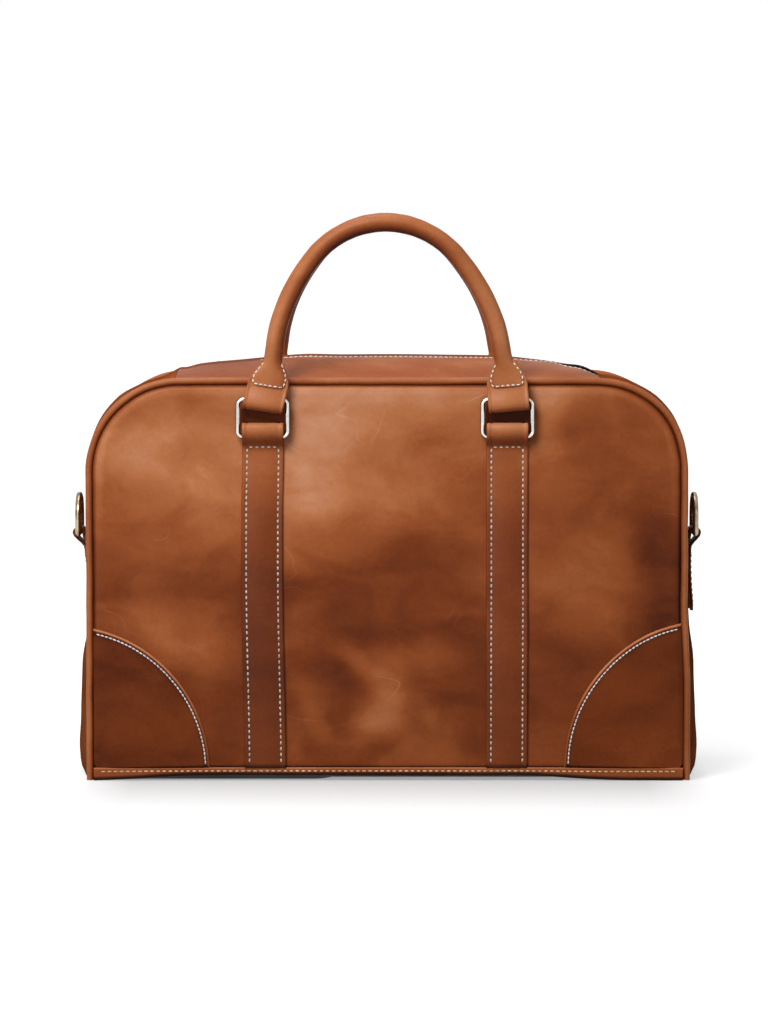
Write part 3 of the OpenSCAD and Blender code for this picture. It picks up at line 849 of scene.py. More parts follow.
# A tooth's cuts: place across the zip, half length and how far it is rounded off
TOOTH_CUTS = ((-0.7, 0.4, 0.5), (-0.3, 0.62, 0.05), (1.6, 0.62, 0.0), (3.1, 0.5, 0.3))


def crest_z(x):
    return SEAM_Z + crest_rise(x)


def tooth(x, side, side_x):
    top = crest_z(x) - TOOTH_TOP
    rings = []
    for y, half, drop in TOOTH_CUTS:
        corners = ((-half, drop), (half, drop), (half, TOOTH_H - drop), (-half, TOOTH_H - drop))
        rings.append([(side_x * (x + dx), side * y, top - dz) for dx, dz in corners])
    return loft(rings)


for side, side_x, end_y, end_x in QUARTERS:
    rings = []
    for x in spread(0, ZIP_END_X + 2, 40):
        z = crest_z(x) - TAPE_DROP
        top = [(side_x * x, side * y, z - 0.0015 * y * y) for y in (0.9, *spread(2, TAPE_OUT, 6))]
        rings.append(top + [(px, py, pz - TAPE_T) for px, py, pz in reversed(top)])
    add(f"{end_y}_tape_{end_x}", loft(rings), TAPE, "zip_tape", end_y + "_zip_tape", end_x + "_zip_end_tape",
        bent=(side, side_x))

    first = 0.25 if side < 0 else 0.75
    teeth = [tooth((k + first) * TOOTH_PITCH, side, side_x) for k in range(int(ZIP_STOP_X / TOOTH_PITCH))]
    add(f"{end_y}_teeth_{end_x}", joined(teeth), ZIP_METAL, "zip_metal", end_y + "_zip_teeth",
        end_x + "_zip_end_teeth", bent=(side, side_x), crease=METAL_CREASE)

# Base leather, turned up at the front and back, and lifted a little in its middle
BASE_HALF = PANEL[1][0]
BASE_ROUND = 2.2


def base_hollow(x):
    """Where the lift reaches deep under the bag"""
    return smooth((x + 52) / 30) * (1 - smooth((x - 130) / 50))


def base_section(x):
    """The base across the bag: its front and back edges lift off the floor in the middle"""
    lift = base_lift(x)
    half = -FRONT_Y + BASE_T
    top = STRIP_Z + 0.08 * lift
    outer = [(-half + 0.5, top), (-half + 0.1, top - 0.5), (-half, top - 1.2), (-half - 0.2, lift + 3.4)]
    outer += arc(-half + BASE_ROUND, lift + BASE_ROUND, BASE_ROUND, (210, 240, 270))
    hollow = base_hollow(x)
    bent_y = -half + mix(7, 18, hollow)
    bent_z = mix(0.4, 0.6, hollow) * lift
    flat_y = -half + mix(12, 48, hollow)
    front = outer + [(bent_y, bent_z), (flat_y, 0.1)]
    path = front + [(-30, 0.0), (30, 0.0)] + [(-y, z) for y, z in reversed(front)]
    inside = [(-30, BASE_T), (flat_y, BASE_T + 0.1), (bent_y, BASE_T + bent_z), (-half + 3, BASE_T + lift),
              (-half + BASE_T, lift + 2.6), (-half + BASE_T, top - 0.8), (-half + 1.2, top)]
    return [(x, y, z) for y, z in path + [(-y, z) for y, z in reversed(inside)] + inside]


def base_end(side_x):
    """The rounded end of the base, which follows the gusset's foot"""
    rings = []
    for z in (BASE_T, 0.0):
        bulge = END_BULGE[0][1] - 2.0
        outline = [(SEAM_X + 0.5 + bulge * (1 - v * v), v) for v in spread(-1, 1, 16)]
        outline += [(BASE_HALF - 2, v) for v in spread(1, -1, 16)]
        rings.append([(side_x * x, v * (GUSSET_HALF - 1), z) for x, v in outline])
    return loft(rings)


base_rings = [base_section(x) for x in spread(-BASE_HALF, BASE_HALF, 80)]
base = joined([loft(base_rings), base_end(1), base_end(-1)])
tones = []
# Painted shade on the base's lower edge and underside, darkest at the floor, and a painted highlight along
# its top edge
for x, y, z in base[0]:
    foot = z - base_lift(x)
    tones.append(mix(-0.55, 0.18, smooth((foot - 0.3) / 3.4)) + 0.16 * smooth((z - STRIP_Z + 1.4) / 1.2))
add("base_leather", base, TRIM, "trim_leather", "base_panel", tones=tones)

rows = []
for side, _ in SIDES_Y:
    line = []
    for x in spread(-BASE_HALF + 5, BASE_HALF - 5, 120):
        place = Vector((x, side * (-FRONT_Y + BASE_T + 0.1), STRIP_Z - 2.7 + 0.12 * base_lift(x)))
        line.append((place, Y_WAY * side))
    rows.append(stitch_row(line, *BASE_STITCH))
add("base_stitches", joined(rows), TAN_THREAD, "thread")

# Corner patches, each with a round edge about a centre of its own
PATCH_R = 105.0
PATCH_AT = {1: (HALF_W + 14.0, 11.0), -1: (HALF_W + 16.0, 7.6)}
PATCH_X = PATCH[1][0]
PATCH_LOW = PATCH[0][2]
PATCH_T = 1.6
PATCH_SEW = 0.967
PATCH_EVEN = {1: 0.06, -1: -0.05}
PATCH_SHARES = (0.02, 0.2, 0.4, 0.6, 0.75, 0.86, 0.935, 0.956, PATCH_SEW, 0.978, 0.984, 0.992)


def patch_arc(side_x):
    """A patch's round edge from its upper end to its lower one, as at the right"""
    mid_x, mid_z = PATCH_AT[side_x]
    upper = math.degrees(math.acos((PATCH_X - mid_x) / PATCH_R))
    lower = 180 - math.degrees(math.asin((PATCH_LOW - mid_z) / PATCH_R))
    return arc(mid_x, mid_z, PATCH_R, spread(upper, lower, 60))


def patch_point(edge, share, lift, side, side_x):
    """A point by its share of the way from the patch's corner to its edge"""
    x = side_x * mix(PATCH_X, edge[0], share)
    z = mix(PATCH_LOW, edge[1], share)
    return x, face_y(x, z, side, lift), z


def patch_cut(height, side_x):
    """Share, lift and tone along one cut from the corner to the edge, and back underneath; the tone holds a
    painted highlight on the rim and painted shade in the stitch groove and at the foot
    """
    # A painted highlight on the rim, stronger higher up, and painted shade at the patch's foot over the base
    # strip
    upper_rim_highlight = 0.34 * smooth((height - 35) / 50)
    foot = FOOT_SHADE * bell(height, PATCH_LOW, 1.3)
    cut = []
    for share in PATCH_SHARES:
        lift = PATCH_T + 0.5 * math.sin(math.pi * share) - 0.35 * bell(share, PATCH_SEW, 0.009)
        rim = (0.26 + upper_rim_highlight) * smooth((share - 0.981) / 0.010) - foot
        cut.append((share, lift, PATCH_EVEN[side_x] + rim - 0.14 * bell(share, PATCH_SEW, 0.014)))
    return cut + [(0.999, PATCH_T - 0.35, 0.20 + upper_rim_highlight), (1.002, PATCH_T - 0.9, 0.20 + upper_rim_highlight),
                  (1.0, -0.6, -0.2), (PATCH_SHARES[0], -0.6, 0.0)]


for side, side_x, end_y, end_x in QUARTERS:
    edges = patch_arc(side_x)
    rings = []
    tones = []
    for edge in edges:
        cut = patch_cut(edge[1], side_x)
        rings.append([patch_point(edge, share, lift, side, side_x) for share, lift, _ in cut])
        tones += [tone for _, _, tone in cut]
    name = f"{end_y}_{end_x}_patch"
    add(name + "_leather", loft(rings), DARK_TRIM, "trim_leather", name, tones=tones)

    spots = [Vector(patch_point(edge, PATCH_SEW, PATCH_T, side, side_x)) for edge in edges[1:-1]]
    line = [(spot, Y_WAY * side) for spot in spots]
    add(name + "_stitches", stitch_row(line, *PATCH_STITCH), WHITE_THREAD, "thread")

# Straps, each folded over at its top round a ring's lower bar
LOOP_T = 2.2
LOOP_MID = RING_R + 0.3 + LOOP_T / 2
FOLD_Z = STRAP[1][2] - RING_R - 0.3 - LOOP_T
PRESS_Z = BAR_Z - 8.0
STITCH_IN = 3.6
TOP_ROW_Z = BAR_Z - 7.7
ROW_LOW = 12.0
ROW_TURN = 3.0
STRAP_SINK = 0.8
STRAP_STEPS = 70
STRAP_EVEN = {1: 0.05, -1: -0.07}


def strap_stations(side, side_x):
    """The strap's middle line from the floor up, over the bar and down behind it"""
    out = Y_WAY * side
    top_x = strap_x(side_x, BAR_Z)
    bar_y = side * -RING_Y
    half_w = STRAP_W / 2
    stations = []
    for z in spread(STRIP_Z + 0.1, PRESS_Z, STRAP_STEPS):
        x = strap_x(side_x, z)
        y = face_y(x, z, side, STRAP_T / 2 - STRAP_SINK)
        stations.append((Vector((x, y, z)), out, half_w, STRAP_T / 2))
    start_y = stations[-1][0].y
    for t in (0.2, 0.4, 0.6, 0.8, 1.0):
        z = mix(PRESS_Z, BAR_Z + 2, t)
        y = mix(start_y, bar_y + side * LOOP_MID, smooth(t))
        lean = 6 * t * (1 - t) * (abs(bar_y) + LOOP_MID - abs(start_y)) / (BAR_Z + 2 - PRESS_Z)
        half_t = mix(STRAP_T, LOOP_T, t) / 2
        stations.append((Vector((top_x, y, z)), (out - UP * lean).normalized(), half_w, half_t))
    stations += fold_stations(Vector((top_x, bar_y, FOLD_Z)), out, LOOP_MID, half_w, LOOP_T / 2)
    for t in (0.35, 0.7, 1.0):
        z = mix(FOLD_Z, PRESS_Z + 4, t)
        y = mix(bar_y - side * LOOP_MID, side * (-FRONT_Y + 0.9), smooth(t))
        stations.append((Vector((top_x, y, z)), -out, half_w, LOOP_T / 2))
    return stations


def strap_tone(z, side_x):
    """Painted sheen growing towards the fold, a painted highlight on the fold's top, and painted shade just
    under the bar and at the foot
    """
    tone = 0.27 * smooth((z - 165) / 75) + 0.20 * smooth((z - BAR_Z - 1) / 6)
    tone -= 0.14 * bell(z, BAR_Z - 4, 3.5)
    return tone + STRAP_EVEN[side_x] * bell(z, 130, 45) - FOOT_SHADE * bell(z, STRIP_Z, 1.6)


def strap_stitch_line(stations, side, side_x):
    """Up one edge, across below the bar and down the other edge"""
    out = Y_WAY * side
    face = stations[:STRAP_STEPS + 1]
    reach = STRAP_W / 2 - STITCH_IN
    edge = [place + out * (half_t - 0.3) for place, _, _, half_t in face
            if ROW_LOW < place.z < TOP_ROW_Z - ROW_TURN]
    top_y = face[-1][0].y + side * (STRAP_T / 2 - 0.1)
    line = [(place - X_WAY * reach, out) for place in edge]
    for c, s in map(turned, spread(180, 0, 16)):
        x = strap_x(side_x, TOP_ROW_Z) + math.copysign(reach - ROW_TURN, c) + ROW_TURN * c
        line.append((Vector((x, top_y, TOP_ROW_Z - ROW_TURN + ROW_TURN * s)), out))
    return line + [(place + X_WAY * reach, out) for place in reversed(edge)]


for side, side_x, end_y, end_x in QUARTERS:
    stations = strap_stations(side, side_x)
    tones = []
    for place, _, half_w, _ in stations:
        tone = strap_tone(place.z, side_x)
        for u, v in strap_section(STRAP_W / 2, STRAP_T / 2, groove_in=STITCH_IN):
            edge = smooth((abs(u) - half_w + 1.6) / 1.6)
            tones.append(tone - 0.16 * edge * (1 if abs(v) < 1.2 else 0.2))
    name = f"{end_y}_{end_x}_strap"
    add(name + "_leather", ribbon(stations, X_WAY, STITCH_IN), TRIM, "trim_leather", name, tones=tones)
    line = strap_stitch_line(stations, side, side_x)
    add(name + "_stitches", stitch_row(line, *STRAP_STITCH), GREY_THREAD, "thread")

# Rectangular rings
RING_SIDES = 16
RING_TURN = 4.0


def ring_path(x, y):
    half_w = (RING[1][0] - RING[0][0]) / 2 - RING_R - RING_TURN
    high = TOP_BAR_Z - RING_TURN
    low = BAR_Z + RING_TURN
    spots = []
    for side_x, z, start in ((1, high, 0), (-1, high, 90), (-1, low, 180), (1, low, 270)):
        spots += bow(x + side_x * half_w, z, RING_TURN, spread(start, start + 90, 8))
    return [(Vector((px, y, pz)), Vector((nx, 0, nz)), Y_WAY) for px, pz, nx, nz in spots]


for side, side_x, end_y, end_x in QUARTERS:
    name = f"{end_y}_{end_x}_ring"
    path = ring_path(strap_x(side_x, BAR_Z), -side * RING_Y)
    # Painted shade: the wire is dark where it faces along the ring's plane, at its edges as seen from front
    # and back, and bright where it faces front and back
    tones = [smooth((abs(s) - 0.45) / 0.45) - 1 for _, s in around(RING_SIDES)] * len(path)
    add(name + "_wire", round_bar(path, RING_R, RING_SIDES, close=True), NICKEL, "nickel", name,
        body=name, tones=tones)


# Rolled handles, with flattened ends sewn on the tabs
def arch_place(a):
    """A place on the arch's right half, by an angle up to its top"""
    if a >= HANDLE_MEET:
        r, x, z = HANDLE_TOP_R + WORN, 0.0, HANDLE_TOP_Z
    else:
        r, x, z = ARCH_R, HANDLE_SIDE_X, ARCH_Z
    return Vector((x + r * math.cos(a), 0, z + r * math.sin(a)))


def arch_angle(z):
    return math.asin((z - ARCH_Z) / ARCH_R)


# How the right and the left tab lean to the middle, and stand beside the middle of their rings
TAB_LEAN = {1: math.radians(4.5), -1: math.radians(13.5)}
TAB_TILT = {1: math.radians(5.0), -1: math.radians(9.0)}
TAB_SHIFT = {1: 0.6, -1: 1.4}
TONGUE_LOW = 286.0
TONGUE_W = 12.3
TONGUE_T = 3.2
TONGUE_ROUND = 2.8
TONGUE_TOP = 306.0
LEG_TOP = 320.0
HANDLE_SIDES = 24
# How far a handle's top hangs to one side
HANDLE_SWAY = 1.9


def tab_x(side_x, z):
    """The middle of a leaning tab at a height"""
    lean = side_x * math.tan(TAB_LEAN[side_x]) * (z - TOP_BAR_Z)
    return strap_x(side_x, BAR_Z) + TAB_SHIFT[side_x] - lean


def leg_size(z):
    """Half width and half thickness of a handle's leg at a height"""
    half_w = mix(ROLL_R, TONGUE_W, smooth((TONGUE_TOP - z) / 14))
    near_end = max(0.0, TONGUE_LOW + TONGUE_ROUND - z)
    if near_end > 0:
        half_w -= TONGUE_ROUND - math.sqrt(max(0.0, TONGUE_ROUND ** 2 - near_end ** 2))
    return half_w, mix(ROLL_R, TONGUE_T, smooth((LEG_TOP - z) / 24))


def leg_boxy(z):
    """How square a leg's section is at a height, as the power of a rounded box"""
    return mix(1.0, 0.35, smooth((TONGUE_TOP - z) / 12))


def leg_station(a, side_x):
    """Place and outward direction on either half of the arch, which ends leaning as its tab does"""
    place = arch_place(a)
    on_tab = smooth((308 - place.z) / 18)
    bent_x = place.x - 0.9 * bell(place.z, 310, 14)
    place.x = mix(side_x * bent_x, tab_x(side_x, place.z), on_tab)
    turn = mix(a, TAB_TILT[side_x], on_tab)
    return place, Vector((side_x * math.cos(turn), 0, math.sin(turn)))


def handle_path(side):
    low = arch_angle(TONGUE_LOW)
    near = arch_angle(TONGUE_LOW + TONGUE_ROUND)
    leg = arch_angle(LEG_TOP)
    turns = [low + (near - low) * (1 - math.cos(math.pi / 2 * i / 8)) for i in range(8)]
    turns += spread(near, leg, 24)[:-1] + spread(leg, HANDLE_MEET, 20)[:-1]
    turns += spread(HANDLE_MEET, math.pi / 2, 34)
    sizes = []
    for i, a in enumerate(turns):
        z = arch_place(a).z
        half_w, half_t = leg_size(z)
        swell = 0.14 * noise.noise(Vector((i * 0.3, side, 4.4))) * smooth((z - LEG_TOP) / 10)
        sizes.append((half_w + swell, half_t + swell, leg_boxy(z)))
    path = []
    for place, out in [leg_station(a, 1) for a in turns] + [leg_station(a, -1) for a in turns[-2::-1]]:
        sway = HANDLE_SWAY * smooth((place.z - ARCH_Z) / 110)
        path.append((Vector((place.x - sway, -side * RING_Y, place.z)), out, Y_WAY * side))
    return path, sizes + sizes[-2::-1]


def handle_tones(place):
    """Painted light and shade round a handle: a painted highlight on its outer side, a little more on the
    left, and painted shade on its inner side, less so at the right, and over its top
    """
    leg = smooth((318 - place.z) / 22)
    crown = smooth((place.z - 372) / 25)
    right = smooth(place.x / 40) * (1 - crown)
    left = smooth(-place.x / 40) * (1 - crown)
    tones = []
    for outer, _ in around(HANDLE_SIDES):
        tone = 0.07 * bell(outer, 0.45, 0.45) + 0.04 * left
        tone -= mix(0.30 * smooth(0.15 - outer), 0.17 * smooth((-0.2 - outer) / 0.8), right)
        tone -= crown * (0.03 + 0.09 * smooth((0.7 - outer) / 1.2))
        tones.append(mix(tone, 0.8 * tone + 0.03, leg))
    return tones


for side, end_y in SIDES_Y:
    path, sizes = handle_path(side)
    tones = [tone for place, _, _ in path for tone in handle_tones(place)]
    add(end_y + "_handle_leather", round_bar(path, sizes, HANDLE_SIDES), HANDLE, "trim_leather",
        end_y + "_handle_wrap", body=end_y + "_handle", tones=tones)

# Handle tabs, folded round the rings' upper bars
TAB_T = 2.0
TAB_MID = 4.2
TAB_FOLD = TOP_BAR_Z - TAB[0][2] - TAB_MID - TAB_T / 2
TAB_TOP = 28.0
TAB_W = 14.7
TAB_NECK = 8.0


def tab_half(w):
    return mix(TAB_W, TAB_NECK, smooth((w - 11) / 18))


def tab_apart(w):
    """Half the distance between the tab's two layers"""
    return mix(TAB_MID, TAB_T / 2 + 0.1, smooth((w + 3) / 12))


def tab_line(side):
    """Places along the tab, from its front top round the fold to its back top"""
    out = Y_WAY * side
    line = [(w, tab_apart(w), out) for w in spread(TAB_TOP, -TAB_FOLD, 26)[:-1]]
    for c, s in map(turned, spread(0, 180, 12)):
        line.append((-TAB_FOLD - TAB_MID * s, TAB_MID * c, out * c - UP * s))
    return line + [(w, -tab_apart(w), -out) for w in spread(-TAB_FOLD, TAB_TOP, 26)[1:]]


for side, side_x, end_y, end_x in QUARTERS:
    lean = TAB_LEAN[side_x]
    tilt = TAB_TILT[side_x]
    along = Vector((-side_x * math.sin(lean), 0, math.cos(lean)))
    across = Vector((math.cos(tilt) * side_x, 0, math.sin(tilt)))
    bar = Vector((tab_x(side_x, TOP_BAR_Z), -side * RING_Y, TOP_BAR_Z))
    rings = []
    tones = []
    for w, apart, way in tab_line(side):
        place = bar + Y_WAY * (side * apart) + along * w
        out = Vector((0, way.y, 0)) + along * way.z
        half = tab_half(w)
        section = strap_section(half, TAB_T / 2, 0.8, 2.6)
        rings.append([tuple(place + across * u + out * v) for u, v in section])
        shade = 0.24 * smooth((-2 - w) / 7)
        tones += [0.10 - 0.10 * smooth((abs(u) - half + 1.6) / 1.6) - shade for u, _ in section]
    add(f"{end_y}_{end_x}_tab_leather", loft(rings), HANDLE, "trim_leather", f"{end_y}_{end_x}_handle_tab",
        body=end_y + "_handle", tones=tones)

# Stitches round the handles' flat ends, on both faces
SEW_EDGE = 0.9
SEW_ROUND = 2.5
SEW_TOP = 303.0


def sewn_outline():
    """Places across and up, down one side of the end, along its foot and up the other side"""
    low = TONGUE_LOW + SEW_EDGE
    outline = [(leg_size(z)[0] - SEW_EDGE, z) for z in spread(SEW_TOP, low + SEW_ROUND, 8)]
    half = outline[-1][0] - SEW_ROUND
    outline += arc(half, low + SEW_ROUND, SEW_ROUND, (-30, -60, -90))
    outline += [(u, low) for u in spread(half, 0, 5)[1:]]
    return outline + [(-u, z) for u, z in outline[-2::-1]]


def sewn_line(side, side_x, face):
    line = []
    for u, z in sewn_outline():
        place, out = leg_station(arch_angle(z), side_x)
        half_w, half_t = leg_size(max(z, TONGUE_LOW + TONGUE_ROUND))
        boxy = leg_boxy(z)
        bulge = half_t * (1 - min(0.98, abs(u) / half_w) ** (2 / boxy)) ** (boxy / 2)
        spot = place + out * u
        line.append((Vector((spot.x, -side * RING_Y + face * bulge, spot.z)), Y_WAY * face))
    return line


for side, end_y in SIDES_Y:
    lines = [sewn_line(side, side_x, face) for side_x, _ in SIDES_X for face in (-1, 1)]
    rows = [stitch_row(line, *HANDLE_STITCH) for line in lines]
    add(end_y + "_handle_stitches", joined(rows), THREAD, "thread", body=end_y + "_handle")

# D-rings at the ends, and the folded tabs that hold them
D_TURN = 2.4
CHAPE_T = 2.0
CHAPE_W = CHAPE[1][1]
CHAPE_MID = D_WIRE_R + 0.3 + CHAPE_T / 2
CHAPE_LOW = CHAPE[0][2]
CHAPE_FREE = 11.0
CHAPE_ROUND = 9.0
CHAPE_SEW_IN = 2.8
CHAPE_SEW_TOP = D_BAR_Z - 15


def d_ring_path(side_x):
    """Along the bar, up one side, over the arc and down the other side"""
    flat = D_ARC_R - D_TURN
    low = D_BAR_Z + D_TURN
    centre_z = D_TOP_Z - D_ARC_R
    spots = [(y, D_BAR_Z, 0, -1) for y in spread(-flat, flat, 10)]
    spots += bow(flat, low, D_TURN, (-60, -30, 0))
    spots += [(D_ARC_R, z, 1, 0) for z in spread(low, centre_z, 3)[1:]]
    spots += bow(0, centre_z, D_ARC_R, spread(0, 180, 24)[1:])
    spots += [(-D_ARC_R, z, -1, 0) for z in spread(centre_z, low, 3)[1:]]
    spots += bow(-flat, low, D_TURN, (210, 240))
    return [(Vector((side_x * D_X, y, z)), Vector((0, ny, nz)), X_WAY) for y, z, ny, nz in spots]


def wall_x(z, side_x):
    """The gusset's face at its middle"""
    return abs(strip_point(SIDE_END - z, 0.0, 0.0, side_x)[0]) + 0.1


def chape_layer(heights, side_x, layer):
    """The outer layer (1) or the inner one (-1), flat on the gusset below and free beside the bar"""
    stations = []
    for z in heights:
        free = smooth((z - D_BAR_Z + CHAPE_FREE) / CHAPE_FREE)
        x = mix(wall_x(z, side_x) + (1 + layer / 2) * CHAPE_T, D_X + layer * CHAPE_MID, free)
        full = math.sqrt(max(0.04, 1 - max(0.0, (CHAPE_LOW + CHAPE_ROUND - z) / CHAPE_ROUND) ** 2))
        half_w = CHAPE_W * mix(0.35, 1.0, full)
        stations.append((Vector((side_x * x, 0, z)), X_WAY * (side_x * layer), half_w, CHAPE_T / 2))
    return stations


def chape_outline():
    """The stitch line on a chape as places across and up"""
    half = CHAPE_W - CHAPE_SEW_IN
    low = CHAPE_LOW + CHAPE_ROUND
    outline = [(half, z) for z in spread(CHAPE_SEW_TOP, low, 14)]
    outline += [(half * c, low - 5.5 * s) for c, s in map(turned, spread(0, 180, 12)[1:-1])]
    outline += [(-half, z) for z in spread(low, CHAPE_SEW_TOP, 14)]
    return outline + [(y, CHAPE_SEW_TOP) for y in spread(-half, half, 8)[1:-1]]


for side_x, end in SIDES_X:
    add(end + "_d_ring_wire", round_bar(d_ring_path(side_x), D_WIRE_R, close=True), BRASSY, "nickel",
        end + "_d_ring", body=end + "_d_ring")

    out = X_WAY * side_x
    stations = chape_layer(spread(CHAPE_LOW, D_BAR_Z, 24)[:-1], side_x, 1)
    stations += fold_stations(Vector((side_x * D_X, 0, D_BAR_Z)), out, CHAPE_MID, CHAPE_W, CHAPE_T / 2)
    stations += chape_layer(spread(D_BAR_Z, CHAPE_LOW + 2, 20)[1:], side_x, -1)
    chape = ribbon(stations, Y_WAY, CHAPE_SEW_IN)
    # The chape leather is painted a little darker all over, as shade
    add(end + "_chape_leather", chape, TRIM, "trim_leather", end + "_chape", tones=[-0.06] * len(chape[0]))

    line = []
    for y, z in chape_outline():
        x = wall_x(z, side_x) + 2 * CHAPE_T - 0.1
        line.append((Vector((side_x * x, y, z)), out))
    add(end + "_chape_stitches", stitch_row(line, *STRAP_STITCH), THREAD, "thread")


# Slider and pull, drawn flat and then set on the zip's arch
def on_crest(x, shape):
    points, faces = shape
    turn = math.asin(x / CREST_R)
    centre = SEAM_Z + CREST_RISE - CREST_R
    return [(math.cos(turn) * px + math.sin(turn) * (CREST_R + pz), py,
             centre - math.sin(turn) * px + math.cos(turn) * (CREST_R + pz)) for px, py, pz in points], faces


def plate(outline, z, thickness, soft=0.25):
    """A flat plate with softened edges, from its outline"""
    cx = sum(p[0] for p in outline) / len(outline)
    cy = sum(p[1] for p in outline) / len(outline)
    rings = []
    for level, inset in ((z, soft), (z + soft, 0.0), (z + thickness - soft, 0.0), (z + thickness, soft)):
        ring = []
        for x, y in outline:
            far = math.hypot(x - cx, y - cy)
            share = (far - inset) / far
            ring.append((cx + (x - cx) * share, cy + (y - cy) * share, level))
        rings.append(ring)
    return loft(rings)


def holed_plate(outer, inner, thickness, soft=0.3):
    """A plate with a hole, between an outer and an inner outline of as many points"""
    lift = UP * thickness
    edge = UP * soft
    rings = []
    for o, i in zip(outer, inner):
        way = Vector((o[0] - i[0], o[1] - i[1], 0)).normalized() * soft
        low = Vector((*i, -thickness / 2))
        high = Vector((*o, -thickness / 2))
        ring = (low + way, high - way, high + edge, high + lift - edge,
                high + lift - way, low + lift + way, low + lift - edge, low + edge)
        rings.append([tuple(p) for p in ring])
    return loft(rings, close=True)


def box_outline(x0, x1, y0, y1):
    return [(x1, y1), (x0, y1), (x0, y0), (x1, y0)]


SLIDER_X = middle(SLIDER, 0)
SLIDER_W = SLIDER[1][1]
PULL_W = PULL[1][1]
PIN_Z = 0.1
PIN_R = 0.32
PULL_DROP = 5.5
SHIELD_HALF = [(6, 2.6), (4, SLIDER_W), (-2.5, SLIDER_W), (-6, 2.9)]
SHIELD = SHIELD_HALF + [(x, -y) for x, y in reversed(SHIELD_HALF)]
BRIDGE = box_outline(-1.4, 1.4, 1.6, 2.6)
WEB = box_outline(-3, 3, -0.2, 0.2)
# The slider's plates: outline, underside, thickness and softened edge
SLIDER_PLATES = ((SHIELD, -2.3, 1.2), (SHIELD, -6.7, 1.2), (WEB, -5.6, 3.4, 0.05), (BRIDGE, -1.2, 2.0),
                 ([(x, -y) for x, y in BRIDGE], -1.2, 2.0))
EYE_OUTER = 1.2
EYE_INNER = 0.55
EYE_W = 2.5
# The blade's middle, half length and half width at the neck, and its hole's middle and radius
BLADE_X = -15.6
BLADE_HALF = 9.4
BLADE_NECK = 2.2
HOLE_X = -21.4
HOLE_R = 1.9

pin = [(Vector((0, y, PIN_Z)), X_WAY, UP) for y in spread(-2.5, 2.5, 4)]
slider = joined([plate(*row) for row in SLIDER_PLATES] + [round_bar(pin, PIN_R, 10)])
add("zip_slider_body", on_crest(SLIDER_X, slider), ZIP_METAL, "zip_metal", "zip_slider",
    body="zip_slider", crease=METAL_CREASE)

blade_outer = []
for c, s in around(48):
    wide = mix(BLADE_NECK, PULL_W, smooth((0.75 - c) / 1.5))
    blade_outer.append((BLADE_X + BLADE_HALF * c, wide * s * (1.15 - 0.15 * abs(s))))
blade = holed_plate(blade_outer, [(HOLE_X + HOLE_R * c, HOLE_R * s) for c, s in around(48)], 1.0)
eye_rings = [[(r * c, r * s) for c, s in around(20)] for r in (EYE_OUTER, EYE_INNER)]
eye_points, eye_faces = holed_plate(*eye_rings, EYE_W)
eye = ([(x, z, y) for x, y, z in eye_points], eye_faces)
neck = plate([(-1.0, 1.2), (-7.4, 1.7), (-7.4, -1.7), (-1.0, -1.2)], -0.6, 1.2)
points, faces = joined([blade, eye, neck])
c, s = turned(PULL_DROP)
points = [(x * c - z * s, y, z * c + x * s + PIN_Z) for x, y, z in points]
add("zip_pull_blade", on_crest(SLIDER_X, (points, faces)), ZIP_METAL, "zip_metal", "zip_pull",
    body="zip_pull", crease=METAL_CREASE)

# Lining: one sheet down the front, over the base and up the back, and one at each end
LINING_IN = 6.4
LINING_Y = 75.6
LINING_T = 0.8
LINING_LOW = 5.2
LINING_TOP = TOP_Z - LINING_IN - 0.4
LINING_ROUND = 8.0
END_IN = LINING_IN + 1.2
END_WIDE = LINING_Y - 0.4
END_START = 118.0


def lining_run():
    run = [(-LINING_Y, z) for z in spread(LINING_TOP, LINING_LOW + LINING_ROUND, 44)]
    run += arc(LINING_ROUND - LINING_Y, LINING_LOW + LINING_ROUND, LINING_ROUND, spread(195, 270, 5))
    run += [(y, LINING_LOW) for y in spread(-LINING_Y + LINING_ROUND, 0, 8)[1:]]
    return run + [(-y, z) for y, z in run[-2::-1]]


run = lining_run()
rings = []
for y, z in run:
    half = half_width(z, LINING_IN)
    toward = smooth((abs(y) - LINING_Y + LINING_ROUND) / LINING_ROUND)
    outer = []
    for u in spread(-1, 1, 50):
        ripple = 0.5 * wave(u * half, z + y, 40, 70, 3.0) * toward
        outer.append((u * half, y - math.copysign(1, y) * abs(ripple), z))
    way = (Vector((0, y, 0)).normalized() * toward - UP * (1 - toward)).normalized()
    rings.append(outer + [tuple(Vector(p) - way * LINING_T) for p in reversed(outer)])
piece = add("lining_main", loft(rings), LINING, "lining", "lining")

run = [(x, TOP_Z - END_IN) for x in spread(END_START, CORNER_X, 8)[:-1]]
run += arc(CORNER_X, CORNER_Z, CORNER_R - END_IN, spread(90, 0, 20))
run += [(HALF_W - END_IN, z) for z in spread(CORNER_Z, LINING_LOW + 1, 40)[1:]]
for side_x, end in SIDES_X:
    rings = []
    for i, (x, z) in enumerate(run):
        before = run[max(0, i - 1)]
        after = run[min(len(run) - 1, i + 1)]
        way = Vector((before[1] - after[1], 0, after[0] - before[0])).normalized()
        outer = []
        for v in spread(-1, 1, 24):
            ripple = 0.7 * abs(wave(v * END_WIDE, z + x, 34, 60, 9.0 + side_x))
            outer.append((x - way.x * ripple, v * END_WIDE, z - way.z * ripple))
        inner = [(px - way.x * LINING_T, py, pz - way.z * LINING_T) for px, py, pz in reversed(outer)]
        rings.append([(side_x * px, py, pz) for px, py, pz in outer + inner])
    piece = add(f"lining_{end}_end", loft(rings), LINING, "lining", "lining")

